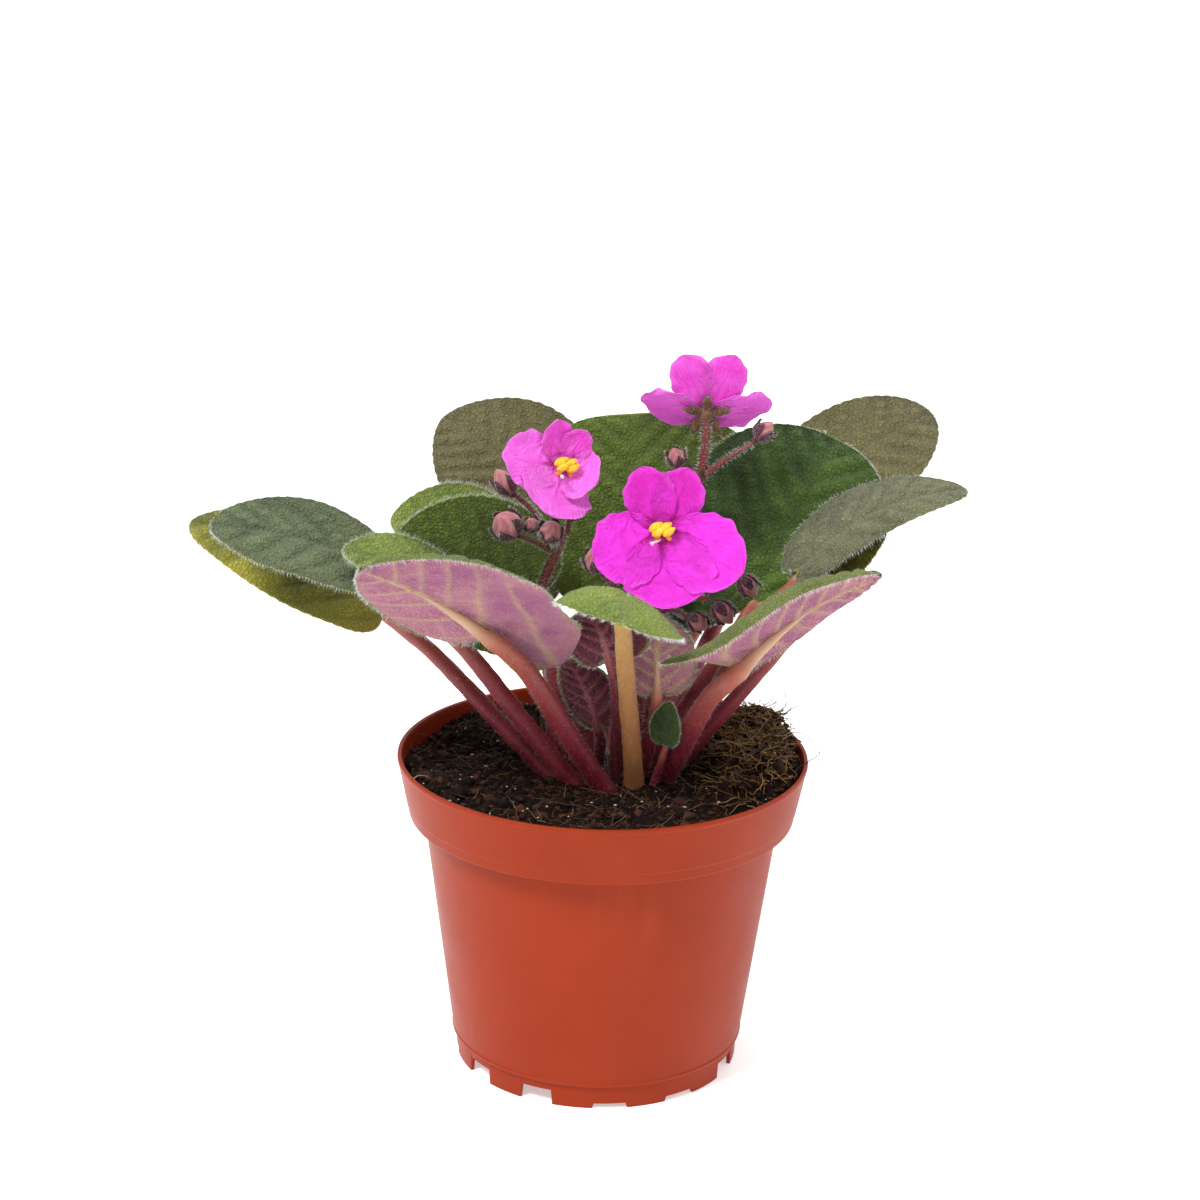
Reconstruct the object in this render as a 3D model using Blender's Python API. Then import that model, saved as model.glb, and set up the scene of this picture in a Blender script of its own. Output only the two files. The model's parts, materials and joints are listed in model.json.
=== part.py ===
"""A flowering African violet in a round plastic nursery pot. Metres, +Z up, resting on z = 0."""

from math import cos, pi, radians, sin

import bmesh
import bpy
import numpy as np
from mathutils import Matrix, Vector

MM = 0.001

# Where the pot's own axis stands, so that the whole plant is centred on the origin.
POT_AXIS = (10.0, -12.0)

# Nursery pot: radii and heights in millimetres.
RIM_RADIUS = 60.0
POT_HEIGHT = 94.0
BAND_FOOT = 76.0
WALL_TOP_RADIUS = 52.0
WALL_FOOT_RADIUS = 43.2
SKIRT_RADIUS = 42.0
WALL = 1.1
FLOOR_TOP = 6.2
FLOOR_UNDER = 5.0
POT_SEGMENTS = 52
NOTCH_PITCH = 30.0
NOTCH_WIDTH = 14.0
FIRST_NOTCH = 216.0
NOTCH_DEPTHS = (4.5, 4.5, 1.5, 1.5)
DRAIN_COUNT = 8
DRAIN_RING = 29.0
DRAIN_RADIUS = 4.0

# Peat: level around the crown, level at the wall, and the raised clump on the right.
SOIL_FLOOR = 6.6
SOIL_GAP = 0.8
SOIL_LEVEL = 89.5
CROWN_CENTRE = (3.5, 1.0)
PIT_LEVEL = 84.5
PIT_RADIUS = 20.5
PIT_EDGE = 28.0

LEAF_THICKNESS = 1.3
PETAL_THICKNESS = 0.5
PETIOLE_SIDES = 7

# Each leaf: where its stalk starts, where the blade starts and ends, which way its upper side
# faces, its width, how far the midrib bows, how far each half bends up, and how it is rolled.
LEAVES = {
    "leaf_left_low": dict(
        foot=(-14.5, -6, 88), radius=2.5, knee=(-65, 8, 135), tip=(-121, 10, 158), face=(0.4, -0.3, 0.87),
        width=46, arch=6, cup=(-8, -8), lobe=(0.4, 0.4), round=0.55),
    "leaf_left_high": dict(
        foot=(-8.6, -10.2, 88), radius=2.6, knee=(-54, -10, 143), tip=(-110, -24, 167), face=(0.4, -0.22, 0.88),
        width=40, arch=6, cup=(4, 4), lobe=(0.5, 0.5), belly=1.1, round=0.55),
    "leaf_left_tucked": dict(
        foot=(-3.2, -6.2, 88), radius=2.4, knee=(-38, -15.8, 143.8), tip=(-73, -28.8, 162.2), face=(0.35, -0.3, 0.9),
        width=30, arch=3, cup=(5, 5), lobe=(0.5, 0.5)),
    "leaf_midleft_rear": dict(
        foot=(-9.5, 7, 88), radius=2.4, knee=(-28.5, 17, 147), tip=(-63, 12, 160), face=(0.25, -0.55, 0.8),
        width=38, arch=3, cup=(8, 8), lobe=(0.6, 0.6)),
    "leaf_midleft_front": dict(
        foot=(-13, 0.5, 88), radius=2.4, knee=(-22, 4, 139), tip=(-59, -4, 161), face=(0.35, -0.8, 0.5),
        width=44, arch=3, cup=(12, 12), lobe=(0.8, 0.8)),
    "leaf_front_left": dict(
        foot=(0.3, -13.2, 88), radius=2.8, knee=(-33, -33, 142), tip=(-66, -56, 166), face=(0.15, 0.85, 0.42),
        width=50, arch=2, cup=(8, 8), halves=(29, 16), lobe=(0.9, 0.6), roll=(-70, -20)),
    "leaf_back_left": dict(
        foot=(-4, 15, 88), radius=2.5, knee=(-16, 42, 158), tip=(-51, 60, 178.5), face=(0.15, -0.75, 0.6),
        width=46, arch=2, cup=(10, 10), lobe=(0.5, 0.5)),
    "leaf_back_middle": dict(
        foot=(4.5, 10, 88), radius=2.7, knee=(10, 22, 137.5), tip=(6, 44, 184.5), face=(0, -0.8, 0.55),
        width=68, halves=(30, 38), arch=4, cup=(12, 12), lobe=(0.6, 0.6), round=0.4),
    "leaf_right_upright": dict(
        foot=(13, 4.5, 88), radius=2.5, knee=(43, 9, 139.5), tip=(66, 31, 182), face=(-0.15, -0.88, 0.45),
        width=56, halves=(32, 27), arch=3, cup=(14, 12), lobe=(0.6, 0.6), round=0.5),
    "leaf_back_right": dict(
        foot=(14, 13.5, 88), radius=2.3, knee=(57, 44, 159.5), tip=(97.5, 63, 183), face=(-0.2, -0.75, 0.65),
        width=38, arch=3, cup=(8, 8), lobe=(0.5, 0.5), round=0.5),
    "leaf_rear_left": dict(
        foot=(-10.5, 13, 88), radius=2.4, knee=(-24, 43, 126), tip=(-53, 74, 139), face=(0.3, -0.3, 0.9),
        width=38, arch=5, cup=(6, 6), lobe=(0.5, 0.5), round=0.55),
    "leaf_rear_middle": dict(
        foot=(2, 17.5, 88), radius=2.5, knee=(7, 47, 125), tip=(5, 90, 140), face=(0, -0.3, 0.95),
        width=46, arch=6, cup=(4, 4), lobe=(0.5, 0.5), round=0.55),
    "leaf_rear_right": dict(
        foot=(9, 18.5, 88), radius=2.4, knee=(30, 47, 124), tip=(54, 84, 139), face=(-0.25, -0.3, 0.92),
        width=38, arch=5, cup=(5, 5), lobe=(0.5, 0.5), round=0.55),
    "leaf_right_high": dict(
        foot=(19.2, 7.2, 88), radius=2.5, knee=(54, -8, 153), tip=(101, -4, 177), face=(-0.3, -0.3, 0.92),
        width=33, halves=(17, 11), arch=7, cup=(-8, -8), lobe=(0.9, 0.9), round=0.5),
    "leaf_right_low": dict(
        foot=(20, 0, 88), radius=2.2, knee=(63, -4, 148), tip=(79, 0, 164), face=(-0.2, -0.4, 0.9),
        width=15, arch=2, cup=(5, 5), lobe=(0.5, 0.5)),
    "leaf_front_right": dict(
        foot=(17.5, -6.5, 88), radius=2.9, knee=(37, -26, 132), tip=(76, -24, 158), face=(-0.4, 0.7, 0.6),
        width=44, arch=3, cup=(-30, 10), halves=(9, 24), lobe=(1.3, 1.9), roll=(0, -110)),
    "leaf_front_middle": dict(
        foot=(9.3, -11, 88), radius=2.6, knee=(5, -42, 156), tip=(4, -68, 156), face=(0.42, -0.12, 1),
        width=36, halves=(19, 21), arch=3, cup=(-28, -55), lobe=(0.5, 0.5)),
    "leaf_inner_purple": dict(
        foot=(-1.5, 0, 88), radius=1.6, knee=(-1, -5, 104), tip=(-11, -8, 126), face=(0.3, 0.8, 0.4),
        width=19, arch=2, cup=(15, 15), lobe=(0.4, 0.4)),
    "leaf_inner_left": dict(
        foot=(4.6, -7.5, 88), radius=2.2, knee=(2, -18, 130), tip=(-6, -20, 144), face=(0.2, 0.8, 0.5),
        width=28, arch=2, cup=(10, 10), lobe=(0.5, 0.5)),
    "leaf_inner_right": dict(
        foot=(11, -4.5, 88), radius=2.0, knee=(15, -14, 118), tip=(14, -17, 142), face=(0, 0.85, 0.5),
        width=22, arch=2, cup=(15, 15), lobe=(0.4, 0.4)),
    "leaf_young_rear": dict(
        foot=(8.5, 3, 88), radius=1.2, knee=(19, 2, 113), tip=(19, 0, 125), face=(-0.2, -0.8, 0.4),
        width=10, arch=1, cup=(15, 15), lobe=(0.4, 0.4)),
    "leaf_young_front": dict(
        foot=(14.5, -12.5, 88), radius=1.0, knee=(17.5, -17, 103), tip=(18.5, -19, 117), face=(-0.3, -0.9, 0.3),
        width=9, arch=1, cup=(15, 15), lobe=(0.4, 0.4)),
}

# Each flower: its throat, which way it faces, which way is up, and its five lobes as
# (direction in degrees, length, half-angle in degrees, bend in degrees).
FLOWERS = {
    "flower_front": dict(
        centre=(14.9, -27, 169.9), face=(-0.12, -0.93, 0.36), up=(0, 0.35, 0.93), lobes=(
            (66, 18.5, 40, 10), (114, 18.5, 40, 10), (188, 20, 44, 12), (282, 22.5, 46, 6), (352, 24.5, 44, 12))),
    "flower_left": dict(
        centre=(-13.1, -12, 183.4), face=(0.42, -0.82, 0.38), up=(0.1, 0.35, 0.93), lobes=(
            (62, 12.5, 40, 35), (118, 14.5, 42, 35), (186, 20, 44, 20), (262, 16, 44, 20), (338, 13.5, 42, 40))),
    "flower_rear": dict(
        centre=(27.2, 9.5, 194.5), face=(0.02, 0.82, 0.56), up=(0, -0.5, 0.86), lobes=(
            (62, 18, 42, 6), (118, 18, 42, 6), (190, 20, 42, 52), (270, 18, 42, 70), (350, 20, 42, 52))),
}

# Each flower stalk: its main stem, then the side stems that leave it, as points and an end radius.
STALKS = {
    "stalk_left": dict(
        stem=((-6.5, 3.5, 88), (-8, 3.5, 108), (-13.5, -1, 126), (-18.8, -4.5, 142.3), (-15, -7, 156), (-13, -8, 163)), radius=(2.0, 1.3),
        sides=(
            ((-14.5, -6.5, 157), (-10.5, -8, 169), (-11.5, -7.5, 178)),
            ((-14.2, -6.8, 158), (-21, -6, 168), (-26.5, -6.5, 173.2)),
            ((-14.8, -6.4, 156), (-20, -9, 160), (-25.4, -11.7, 162.8)),
            ((-14.5, -6.6, 157), (-15, -10, 160), (-15.6, -12.6, 161.6)))),
    "stalk_front": dict(
        stem=((8.9, -0.8, 88), (9.8, -3.5, 108), (11.5, -6.5, 128), (12.5, -9.5, 140), (13, -12, 146)), radius=(1.7, 1.3),
        sides=(
            ((12.7, -10.5, 142), (15, -15, 156), (15.3, -22.6, 166.4)),
            ((12.5, -9.5, 140), (4.5, -13.5, 147), (-1.4, -17.4, 153.8)),
            ((12.5, -9.5, 140), (18.5, -15, 143), (23.3, -19, 142)),
            ((12.6, -10, 141), (21, -15.5, 147), (28.6, -21, 148.4)),
            ((12.8, -11, 143.5), (26, -15, 152), (36.4, -19.8, 155.2)))),
    "stalk_rear": dict(
        stem=((9.5, 8, 88), (15, 6, 125), (21.5, 5, 155), (25.8, 6, 175), (27, 6.6, 187.6)), radius=(1.9, 1.2),
        sides=(
            ((25.8, 6, 175), (22.5, 5.5, 177), (20.8, 5.8, 178.6)),
            ((25.9, 6, 176), (34, 4, 183), (40.6, 4, 187.2)))),
}

# Each bud: its middle, the way it points, its length and its widest radius.
BUDS = {
    "bud_left_top": ((-29.6, -7.6, 177.2), (-0.5, -0.2, 0.8), 9.0, 2.9),
    "bud_left_large": ((-28.6, -14.2, 166.6), (-0.5, -0.5, 0.6), 9.4, 4.3),
    "bud_left_middle": ((-16.1, -15, 165.4), (0, -0.6, 0.8), 7.2, 3.2),
    "bud_left_small": ((-21.6, -10, 165.6), (-0.5, -0.5, 0.7), 5.0, 2.0),
    "bud_front_left": ((-3.3, -18.4, 158.2), (-0.3, -0.4, 0.9), 8.4, 3.4),
    "bud_front_low": ((25.8, -21.9, 141.8), (0.4, -0.5, -0.3), 6.6, 2.6),
    "bud_front_middle": ((32.6, -23.8, 145.4), (0.5, -0.4, -0.5), 8.0, 3.0),
    "bud_front_right": ((39.4, -20.8, 152.4), (0.5, -0.3, -0.6), 7.0, 2.7),
    "bud_rear_left": ((18.8, 5.2, 182.2), (-0.3, -0.3, 0.9), 6.4, 2.5),
    "bud_rear_right": ((43.4, 4, 190.8), (0.6, 0, 0.7), 7.0, 2.7),
}

COLOURS = {
    "terracotta": ((0.50, 0.11, 0.04, 1), 0.45),
    "peat": ((0.035, 0.02, 0.012, 1), 0.95),
    "crown": ((0.10, 0.05, 0.03, 1), 0.9),
    "leaf": ((0.08, 0.16, 0.05, 1), 0.6),
    "petal": ((0.80, 0.05, 0.48, 1), 0.5),
    "sepal": ((0.20, 0.06, 0.04, 1), 0.7),
    "anther": ((0.85, 0.50, 0.03, 1), 0.5),
    "pistil": ((0.75, 0.45, 0.60, 1), 0.5),
    "stalk": ((0.25, 0.03, 0.05, 1), 0.6),
    "bud": ((0.38, 0.16, 0.16, 1), 0.6),
}


def clear_scene():
    for item in list(bpy.data.objects):
        bpy.data.objects.remove(item, do_unlink=True)


def paint(item, key):
    """Gives the object its own copy of a plain coloured material."""
    material = bpy.data.materials.new(item.name + "_" + key)
    material.use_nodes = True
    shader = material.node_tree.nodes["Principled BSDF"]
    colour, roughness = COLOURS[key]
    shader.inputs["Base Color"].default_value = colour
    shader.inputs["Roughness"].default_value = roughness
    material.diffuse_color = colour
    item.data.materials.clear()
    item.data.materials.append(material)


def add_mesh(name, points, faces, smooth=True):
    """A mesh object at the pot's axis, with its ends merged and its faces turned outwards."""
    mesh = bpy.data.meshes.new(name)
    mesh.from_pydata([tuple(float(c) * MM for c in p) for p in points], [], [tuple(f) for f in faces])
    work = bmesh.new()
    work.from_mesh(mesh)
    bmesh.ops.remove_doubles(work, verts=work.verts, dist=0.00001)
    bmesh.ops.dissolve_degenerate(work, edges=work.edges, dist=0.00001)
    bmesh.ops.recalc_face_normals(work, faces=work.faces)
    work.to_mesh(mesh)
    work.free()
    mesh.update()
    mesh.polygons.foreach_set("use_smooth", [smooth] * len(mesh.polygons))
    item = bpy.data.objects.new(name, mesh)
    bpy.context.scene.collection.objects.link(item)
    item.location = (POT_AXIS[0] * MM, POT_AXIS[1] * MM, 0)
    return item


def as_cutter(item):
    item.hide_render = True
    item.display_type = "WIRE"
    item.hide_viewport = False
    return item


def boolean(item, other, operation):
    """One exact Boolean, applied at once, with the other object removed afterwards."""
    step = item.modifiers.new(operation.lower(), "BOOLEAN")
    step.operation = operation
    step.solver = "EXACT"
    step.object = other
    bpy.context.view_layer.objects.active = item
    bpy.ops.object.modifier_apply(modifier=step.name)
    bpy.data.objects.remove(other, do_unlink=True)


def unit(v):
    return v / np.maximum(np.linalg.norm(v, axis=-1, keepdims=True), 1e-9)


def lathe(name, profile, segments):
    """Turns a closed profile of (radius, height) pairs about the vertical axis."""
    turn = [2 * pi * k / segments for k in range(segments)]
    points = [(r * cos(a), r * sin(a), z) for r, z in profile for a in turn]
    faces = []
    for i in range(len(profile) - 1):
        for j in range(segments):
            k = (j + 1) % segments
            faces.append((i * segments + j, i * segments + k, (i + 1) * segments + k, (i + 1) * segments + j))
    return add_mesh(name, points, faces)


def tube(name, path, radii, sides):
    """A bevelled curve with filled caps along the path, made into a mesh."""
    curve = bpy.data.curves.new(name, "CURVE")
    curve.dimensions = "3D"
    curve.bevel_depth = MM
    curve.bevel_resolution = max(0, sides // 2 - 2)
    curve.use_fill_caps = True
    spline = curve.splines.new("POLY")
    spline.points.add(len(path) - 1)
    for point, place, radius in zip(spline.points, path, radii):
        point.co = (place[0] * MM, place[1] * MM, place[2] * MM, 1)
        point.radius = radius
    holder = bpy.data.objects.new(name + "_curve", curve)
    bpy.context.scene.collection.objects.link(holder)
    bpy.context.view_layer.update()
    graph = bpy.context.evaluated_depsgraph_get()
    mesh = bpy.data.meshes.new_from_object(holder.evaluated_get(graph))
    bpy.data.objects.remove(holder, do_unlink=True)
    points = [tuple(c / MM for c in v.co) for v in mesh.vertices]
    faces = [tuple(p.vertices) for p in mesh.polygons]
    bpy.data.meshes.remove(mesh)
    return add_mesh(name, points, faces)


def smooth_path(points, count):
    """A path through the given points that bends evenly, by Catmull-Rom segments."""
    p = np.array(points, float)
    p = np.vstack([2 * p[0] - p[1], p, 2 * p[-1] - p[-2]])
    spans = len(p) - 3
    out = []
    for t in np.linspace(0, spans, count):
        i = min(int(t), spans - 1)
        s = t - i
        a, b, c, d = p[i:i + 4]
        out.append(0.5 * (2 * b + (c - a) * s + (2 * a - 5 * b + 4 * c - d) * s * s
                          + (3 * b - a - 3 * c + d) * s ** 3))
    return np.array(out)


def midrib(leaf, count):
    """Points along the blade's middle: the straight line from knee to tip, bowed towards its upper side."""
    knee = np.array(leaf["knee"], float)
    tip = np.array(leaf["tip"], float)
    spread = np.linspace(0, 1, count)
    along = unit(tip - knee)
    face = np.array(leaf["face"], float)
    face = unit(face - (face @ along) * along)
    u = 0.35 * spread + 0.65 * (1 - np.cos(pi * spread)) / 2
    middle = knee + (tip - knee) * u[:, None] + face * (leaf["arch"] * 4 * u * (1 - u))[:, None]
    return u, middle, face


def blade_grid(leaf, rows, columns):
    """The upper surface of the blade. Each half is a strip that bends as it goes outwards."""
    u, middle, face = midrib(leaf, rows)
    ahead = unit(np.gradient(middle, axis=0))
    upper = unit(face - (ahead @ face)[:, None] * ahead)
    right = np.cross(ahead, upper)
    outline = np.sin(pi * u ** leaf.get("belly", 0.8)) ** leaf.get("round", 0.62)
    outline[0] = 0
    outline[-1] = 0
    q = np.linspace(0, 1, 41)
    grid = np.zeros((rows, columns, 3))
    halves = leaf.get("halves", (leaf["width"] / 2, leaf["width"] / 2))
    roll = leaf.get("roll", (0, 0))
    for j, v in enumerate(np.linspace(-1, 1, columns)):
        side = 0 if v < 0 else 1
        bend = np.radians(leaf["cup"][side] * q + roll[side] * q ** 4)
        step = (bend[1:] + bend[:-1]) / 2
        out = np.concatenate([[0], np.cumsum(np.cos(step) * np.diff(q))])
        lift = np.concatenate([[0], np.cumsum(np.sin(step) * np.diff(q))])
        half = halves[side] * outline
        sweep = leaf["lobe"][side] * half * (1 - u) ** 2.5 * abs(v)
        sign = -1 if v < 0 else 1
        grid[:, j] = (middle + right * (sign * half * np.interp(abs(v), q, out))[:, None]
                      + upper * (half * np.interp(abs(v), q, lift))[:, None] - ahead * sweep[:, None])
    return grid, upper


def add_leaf(name, leaf):
    """A thickened blade joined to its round stalk."""
    small = leaf["width"] < 15
    rows, columns = (6, 5) if small else (8, 7)
    grid, upper = blade_grid(leaf, rows, columns)
    faces = []
    for i in range(rows - 1):
        for j in range(columns - 1):
            faces.append((i * columns + j, i * columns + j + 1, (i + 1) * columns + j + 1, (i + 1) * columns + j))
    item = add_mesh(name, grid.reshape(-1, 3), faces)
    if item.data.polygons[len(faces) // 2].normal @ Vector(upper[rows // 2]) < 0:
        item.data.flip_normals()
    shell = item.modifiers.new("thickness", "SOLIDIFY")
    shell.thickness = LEAF_THICKNESS * MM * (0.7 if small else 1)
    shell.offset = -1
    shell.use_even_offset = False
    bpy.context.view_layer.objects.active = item
    bpy.ops.object.modifier_apply(modifier=shell.name)
    foot = np.array(leaf["foot"], float)
    u, middle, face = midrib(leaf, 13)
    knee = middle[0]
    end = unit(middle[1] - middle[0])
    reach = np.linalg.norm(knee - foot)
    start = unit(knee - foot)
    p1 = foot + start * reach * 0.35
    p2 = knee - end * reach * 0.25
    t = np.linspace(0, 1, 7)[:, None]
    path = (1 - t) ** 3 * foot + 3 * (1 - t) ** 2 * t * p1 + 3 * (1 - t) * t * t * p2 + t ** 3 * knee
    sink = LEAF_THICKNESS * 0.6
    tail = middle[[2, 3, 4]] - face * sink
    path = np.vstack([path[:-1], knee - face * sink, tail])
    thick = leaf["radius"]
    radii = np.concatenate([np.linspace(thick, thick * 0.8, 7), thick * np.array([0.62, 0.45, 0.3])])
    boolean(item, tube(name + "_stalk", path, radii, PETIOLE_SIDES), "UNION")
    paint(item, "leaf")
    return item


def disc_shell(name, centre, face, up, reach, bend, rings, spokes, thickness, hollow=0.0):
    """A thin star or flower shape: spokes of a given reach that leave a point and bend forwards."""
    face = unit(np.array(face, float))
    up = np.array(up, float)
    up = unit(up - (up @ face) * face)
    right = np.cross(up, face)
    centre = np.array(centre, float)
    points = [centre - face * hollow]
    for i in range(1, rings + 1):
        t = i / rings
        for j in range(spokes):
            a = 2 * pi * j / spokes
            b = radians(bend[j])
            out = t if abs(b) < 1e-3 else sin(b * t) / b
            lift = 0 if abs(b) < 1e-3 else (1 - cos(b * t)) / b
            points.append(centre + (right * cos(a) + up * sin(a)) * reach[j] * out + face * (reach[j] * lift))
    faces = []
    for j in range(spokes):
        k = (j + 1) % spokes
        faces.append((0, 1 + j, 1 + k))
        for i in range(rings - 1):
            a = 1 + i * spokes
            b = a + spokes
            faces.append((a + j, b + j, b + k, a + k))
    item = add_mesh(name, points, faces)
    if item.data.polygons[0].normal @ Vector(face) < 0:
        item.data.flip_normals()
    shell = item.modifiers.new("thickness", "SOLIDIFY")
    shell.thickness = thickness * MM
    shell.offset = -1
    shell.use_even_offset = False
    bpy.context.view_layer.objects.active = item
    bpy.ops.object.modifier_apply(modifier=shell.name)
    return item


def lobed(lobes, spokes, base, power):
    """Reach and bend for each spoke: the longest lobe that covers it."""
    reach = np.full(spokes, base)
    bend = np.zeros(spokes)
    weight = np.full(spokes, 1e-6)
    for j in range(spokes):
        a = 360 * j / spokes
        for middle, length, half, turn in lobes:
            off = (a - middle + 180) % 360 - 180
            if abs(off) < half:
                reach[j] = max(reach[j], length * (1 - (off / half) ** 2) ** power)
            near = np.exp(-(off / 30) ** 2)
            bend[j] += turn * near
            weight[j] += near
    return reach, bend / weight


def ball(name, centre, axis, length, radius, rings=6, sides=8):
    """A pointed egg: a round closed shape drawn out along one axis."""
    axis = unit(np.array(axis, float))
    helper = np.array((0, 0, 1.0)) if abs(axis[2]) < 0.9 else np.array((1.0, 0, 0))
    right = unit(np.cross(axis, helper))
    up = np.cross(right, axis)
    centre = np.array(centre, float)
    points = [centre - axis * length / 2]
    for i in range(1, rings):
        t = i / rings
        r = radius * sin(pi * t ** 0.85) ** 0.75
        for j in range(sides):
            a = 2 * pi * j / sides
            points.append(centre + axis * length * (t - 0.5) + (right * cos(a) + up * sin(a)) * r)
    points.append(centre + axis * length / 2)
    last = len(points) - 1
    faces = []
    for j in range(sides):
        k = (j + 1) % sides
        faces.append((0, 1 + k, 1 + j))
        for i in range(rings - 2):
            a = 1 + i * sides
            faces.append((a + j, a + k, a + sides + k, a + sides + j))
        a = 1 + (rings - 2) * sides
        faces.append((a + j, a + k, last))
    return add_mesh(name, points, faces)


def add_pot():
    wall_in = WALL_TOP_RADIUS - WALL
    foot_in = WALL_FOOT_RADIUS - WALL
    band_foot = RIM_RADIUS - 3.9
    profile = [
        (0, FLOOR_TOP),
        (foot_in - 1.6, FLOOR_TOP),
        (foot_in - 0.4, FLOOR_TOP + 1.0),
        (wall_in - 0.4, BAND_FOOT - 1.4),
        (wall_in + 0.4, BAND_FOOT + 0.2),
        (band_foot - WALL - 0.6, BAND_FOOT + 1.1),
        (band_foot - WALL + 0.5, BAND_FOOT + 2.6),
        (RIM_RADIUS - WALL - 0.5, POT_HEIGHT - 0.9),
        (RIM_RADIUS - WALL - 0.1, POT_HEIGHT - 0.2),
        (RIM_RADIUS - 0.7, POT_HEIGHT),
        (RIM_RADIUS - 0.1, POT_HEIGHT - 0.2),
        (RIM_RADIUS, POT_HEIGHT - 0.8),
        (band_foot + 1.1, BAND_FOOT + 3.5),
        (band_foot + 0.5, BAND_FOOT + 1.2),
        (band_foot - 0.4, BAND_FOOT),
        (WALL_TOP_RADIUS + 0.8, BAND_FOOT - 0.4),
        (WALL_TOP_RADIUS, BAND_FOOT - 1.4),
        (WALL_FOOT_RADIUS, 8.2),
        (WALL_FOOT_RADIUS + 0.2, 7.6),
        (SKIRT_RADIUS + 0.3, 7.0),
        (SKIRT_RADIUS, 0),
        (SKIRT_RADIUS - WALL, 0),
        (SKIRT_RADIUS - WALL, FLOOR_UNDER),
        (0, FLOOR_UNDER),
    ]
    pot = lathe("pot", profile, POT_SEGMENTS)
    points = []
    faces = []
    for k in range(round(360 / NOTCH_PITCH)):
        depth = NOTCH_DEPTHS[k % len(NOTCH_DEPTHS)]
        middle = radians(FIRST_NOTCH + NOTCH_PITCH * k)
        for radius in (SKIRT_RADIUS - 4, SKIRT_RADIUS + 3):
            for height, width in ((-1.0, NOTCH_WIDTH), (depth, NOTCH_WIDTH - 1.4)):
                for sign in (-1, 1):
                    a = middle + sign * radians(width / 2)
                    points.append((radius * cos(a), radius * sin(a), height))
        b = 8 * k
        faces += [(b, b + 1, b + 3, b + 2), (b + 4, b + 6, b + 7, b + 5), (b, b + 4, b + 5, b + 1),
                  (b + 2, b + 3, b + 7, b + 6), (b, b + 2, b + 6, b + 4), (b + 1, b + 5, b + 7, b + 3)]
    boolean(pot, as_cutter(add_mesh("notch_cutter", points, faces, smooth=False)), "DIFFERENCE")
    work = bmesh.new()
    for k in range(DRAIN_COUNT):
        a = 2 * pi * (k + 0.5) / DRAIN_COUNT
        place = Matrix.Translation((DRAIN_RING * cos(a) * MM, DRAIN_RING * sin(a) * MM, 5.6 * MM))
        bmesh.ops.create_cone(work, cap_ends=True, segments=12, radius1=DRAIN_RADIUS * MM,
                              radius2=DRAIN_RADIUS * MM, depth=4 * MM, matrix=place)
    mesh = bpy.data.meshes.new("drain_cutter")
    work.to_mesh(mesh)
    work.free()
    cutter = bpy.data.objects.new("drain_cutter", mesh)
    bpy.context.scene.collection.objects.link(cutter)
    cutter.location = pot.location
    boolean(pot, as_cutter(cutter), "DIFFERENCE")
    paint(pot, "terracotta")


def soil_height(x, y):
    """Level peat, a shallow hollow round the crown, and a clump that rises to the right and behind."""
    from_crown = np.hypot(x - CROWN_CENTRE[0], y - CROWN_CENTRE[1])
    hollow = np.clip((PIT_EDGE - from_crown) / (PIT_EDGE - PIT_RADIUS), 0, 1)
    hollow = hollow * hollow * (3 - 2 * hollow)
    ground = SOIL_LEVEL + 1.6 * np.exp(-((x + 4) / 30) ** 2 - ((y + 46) / 16) ** 2)
    ground = ground + 0.8 * np.sin(x * 0.21 + 1.0) * np.sin(y * 0.19)
    clump = 12.5 * np.exp(-((x - 46) / 14) ** 2 - ((y - 14) / 17) ** 2)
    clump = clump + 6.0 * np.exp(-((x - 44) / 12) ** 2 - ((y + 12) / 13) ** 2)
    return ground + (PIT_LEVEL - ground) * hollow + clump * (1 - hollow)


def wall_inside(z):
    """The pot's inner radius at a height."""
    heights = (FLOOR_TOP + 1.0, BAND_FOOT - 1.4, BAND_FOOT + 0.2, BAND_FOOT + 1.1, BAND_FOOT + 2.6, POT_HEIGHT - 0.9)
    inner = WALL_TOP_RADIUS - WALL
    band = RIM_RADIUS - 3.9 - WALL
    radii = (WALL_FOOT_RADIUS - WALL - 0.4, inner - 0.4, inner - 0.2, inner + 0.2, band + 0.3, RIM_RADIUS - WALL - 0.5)
    return np.interp(z, heights, radii)


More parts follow.
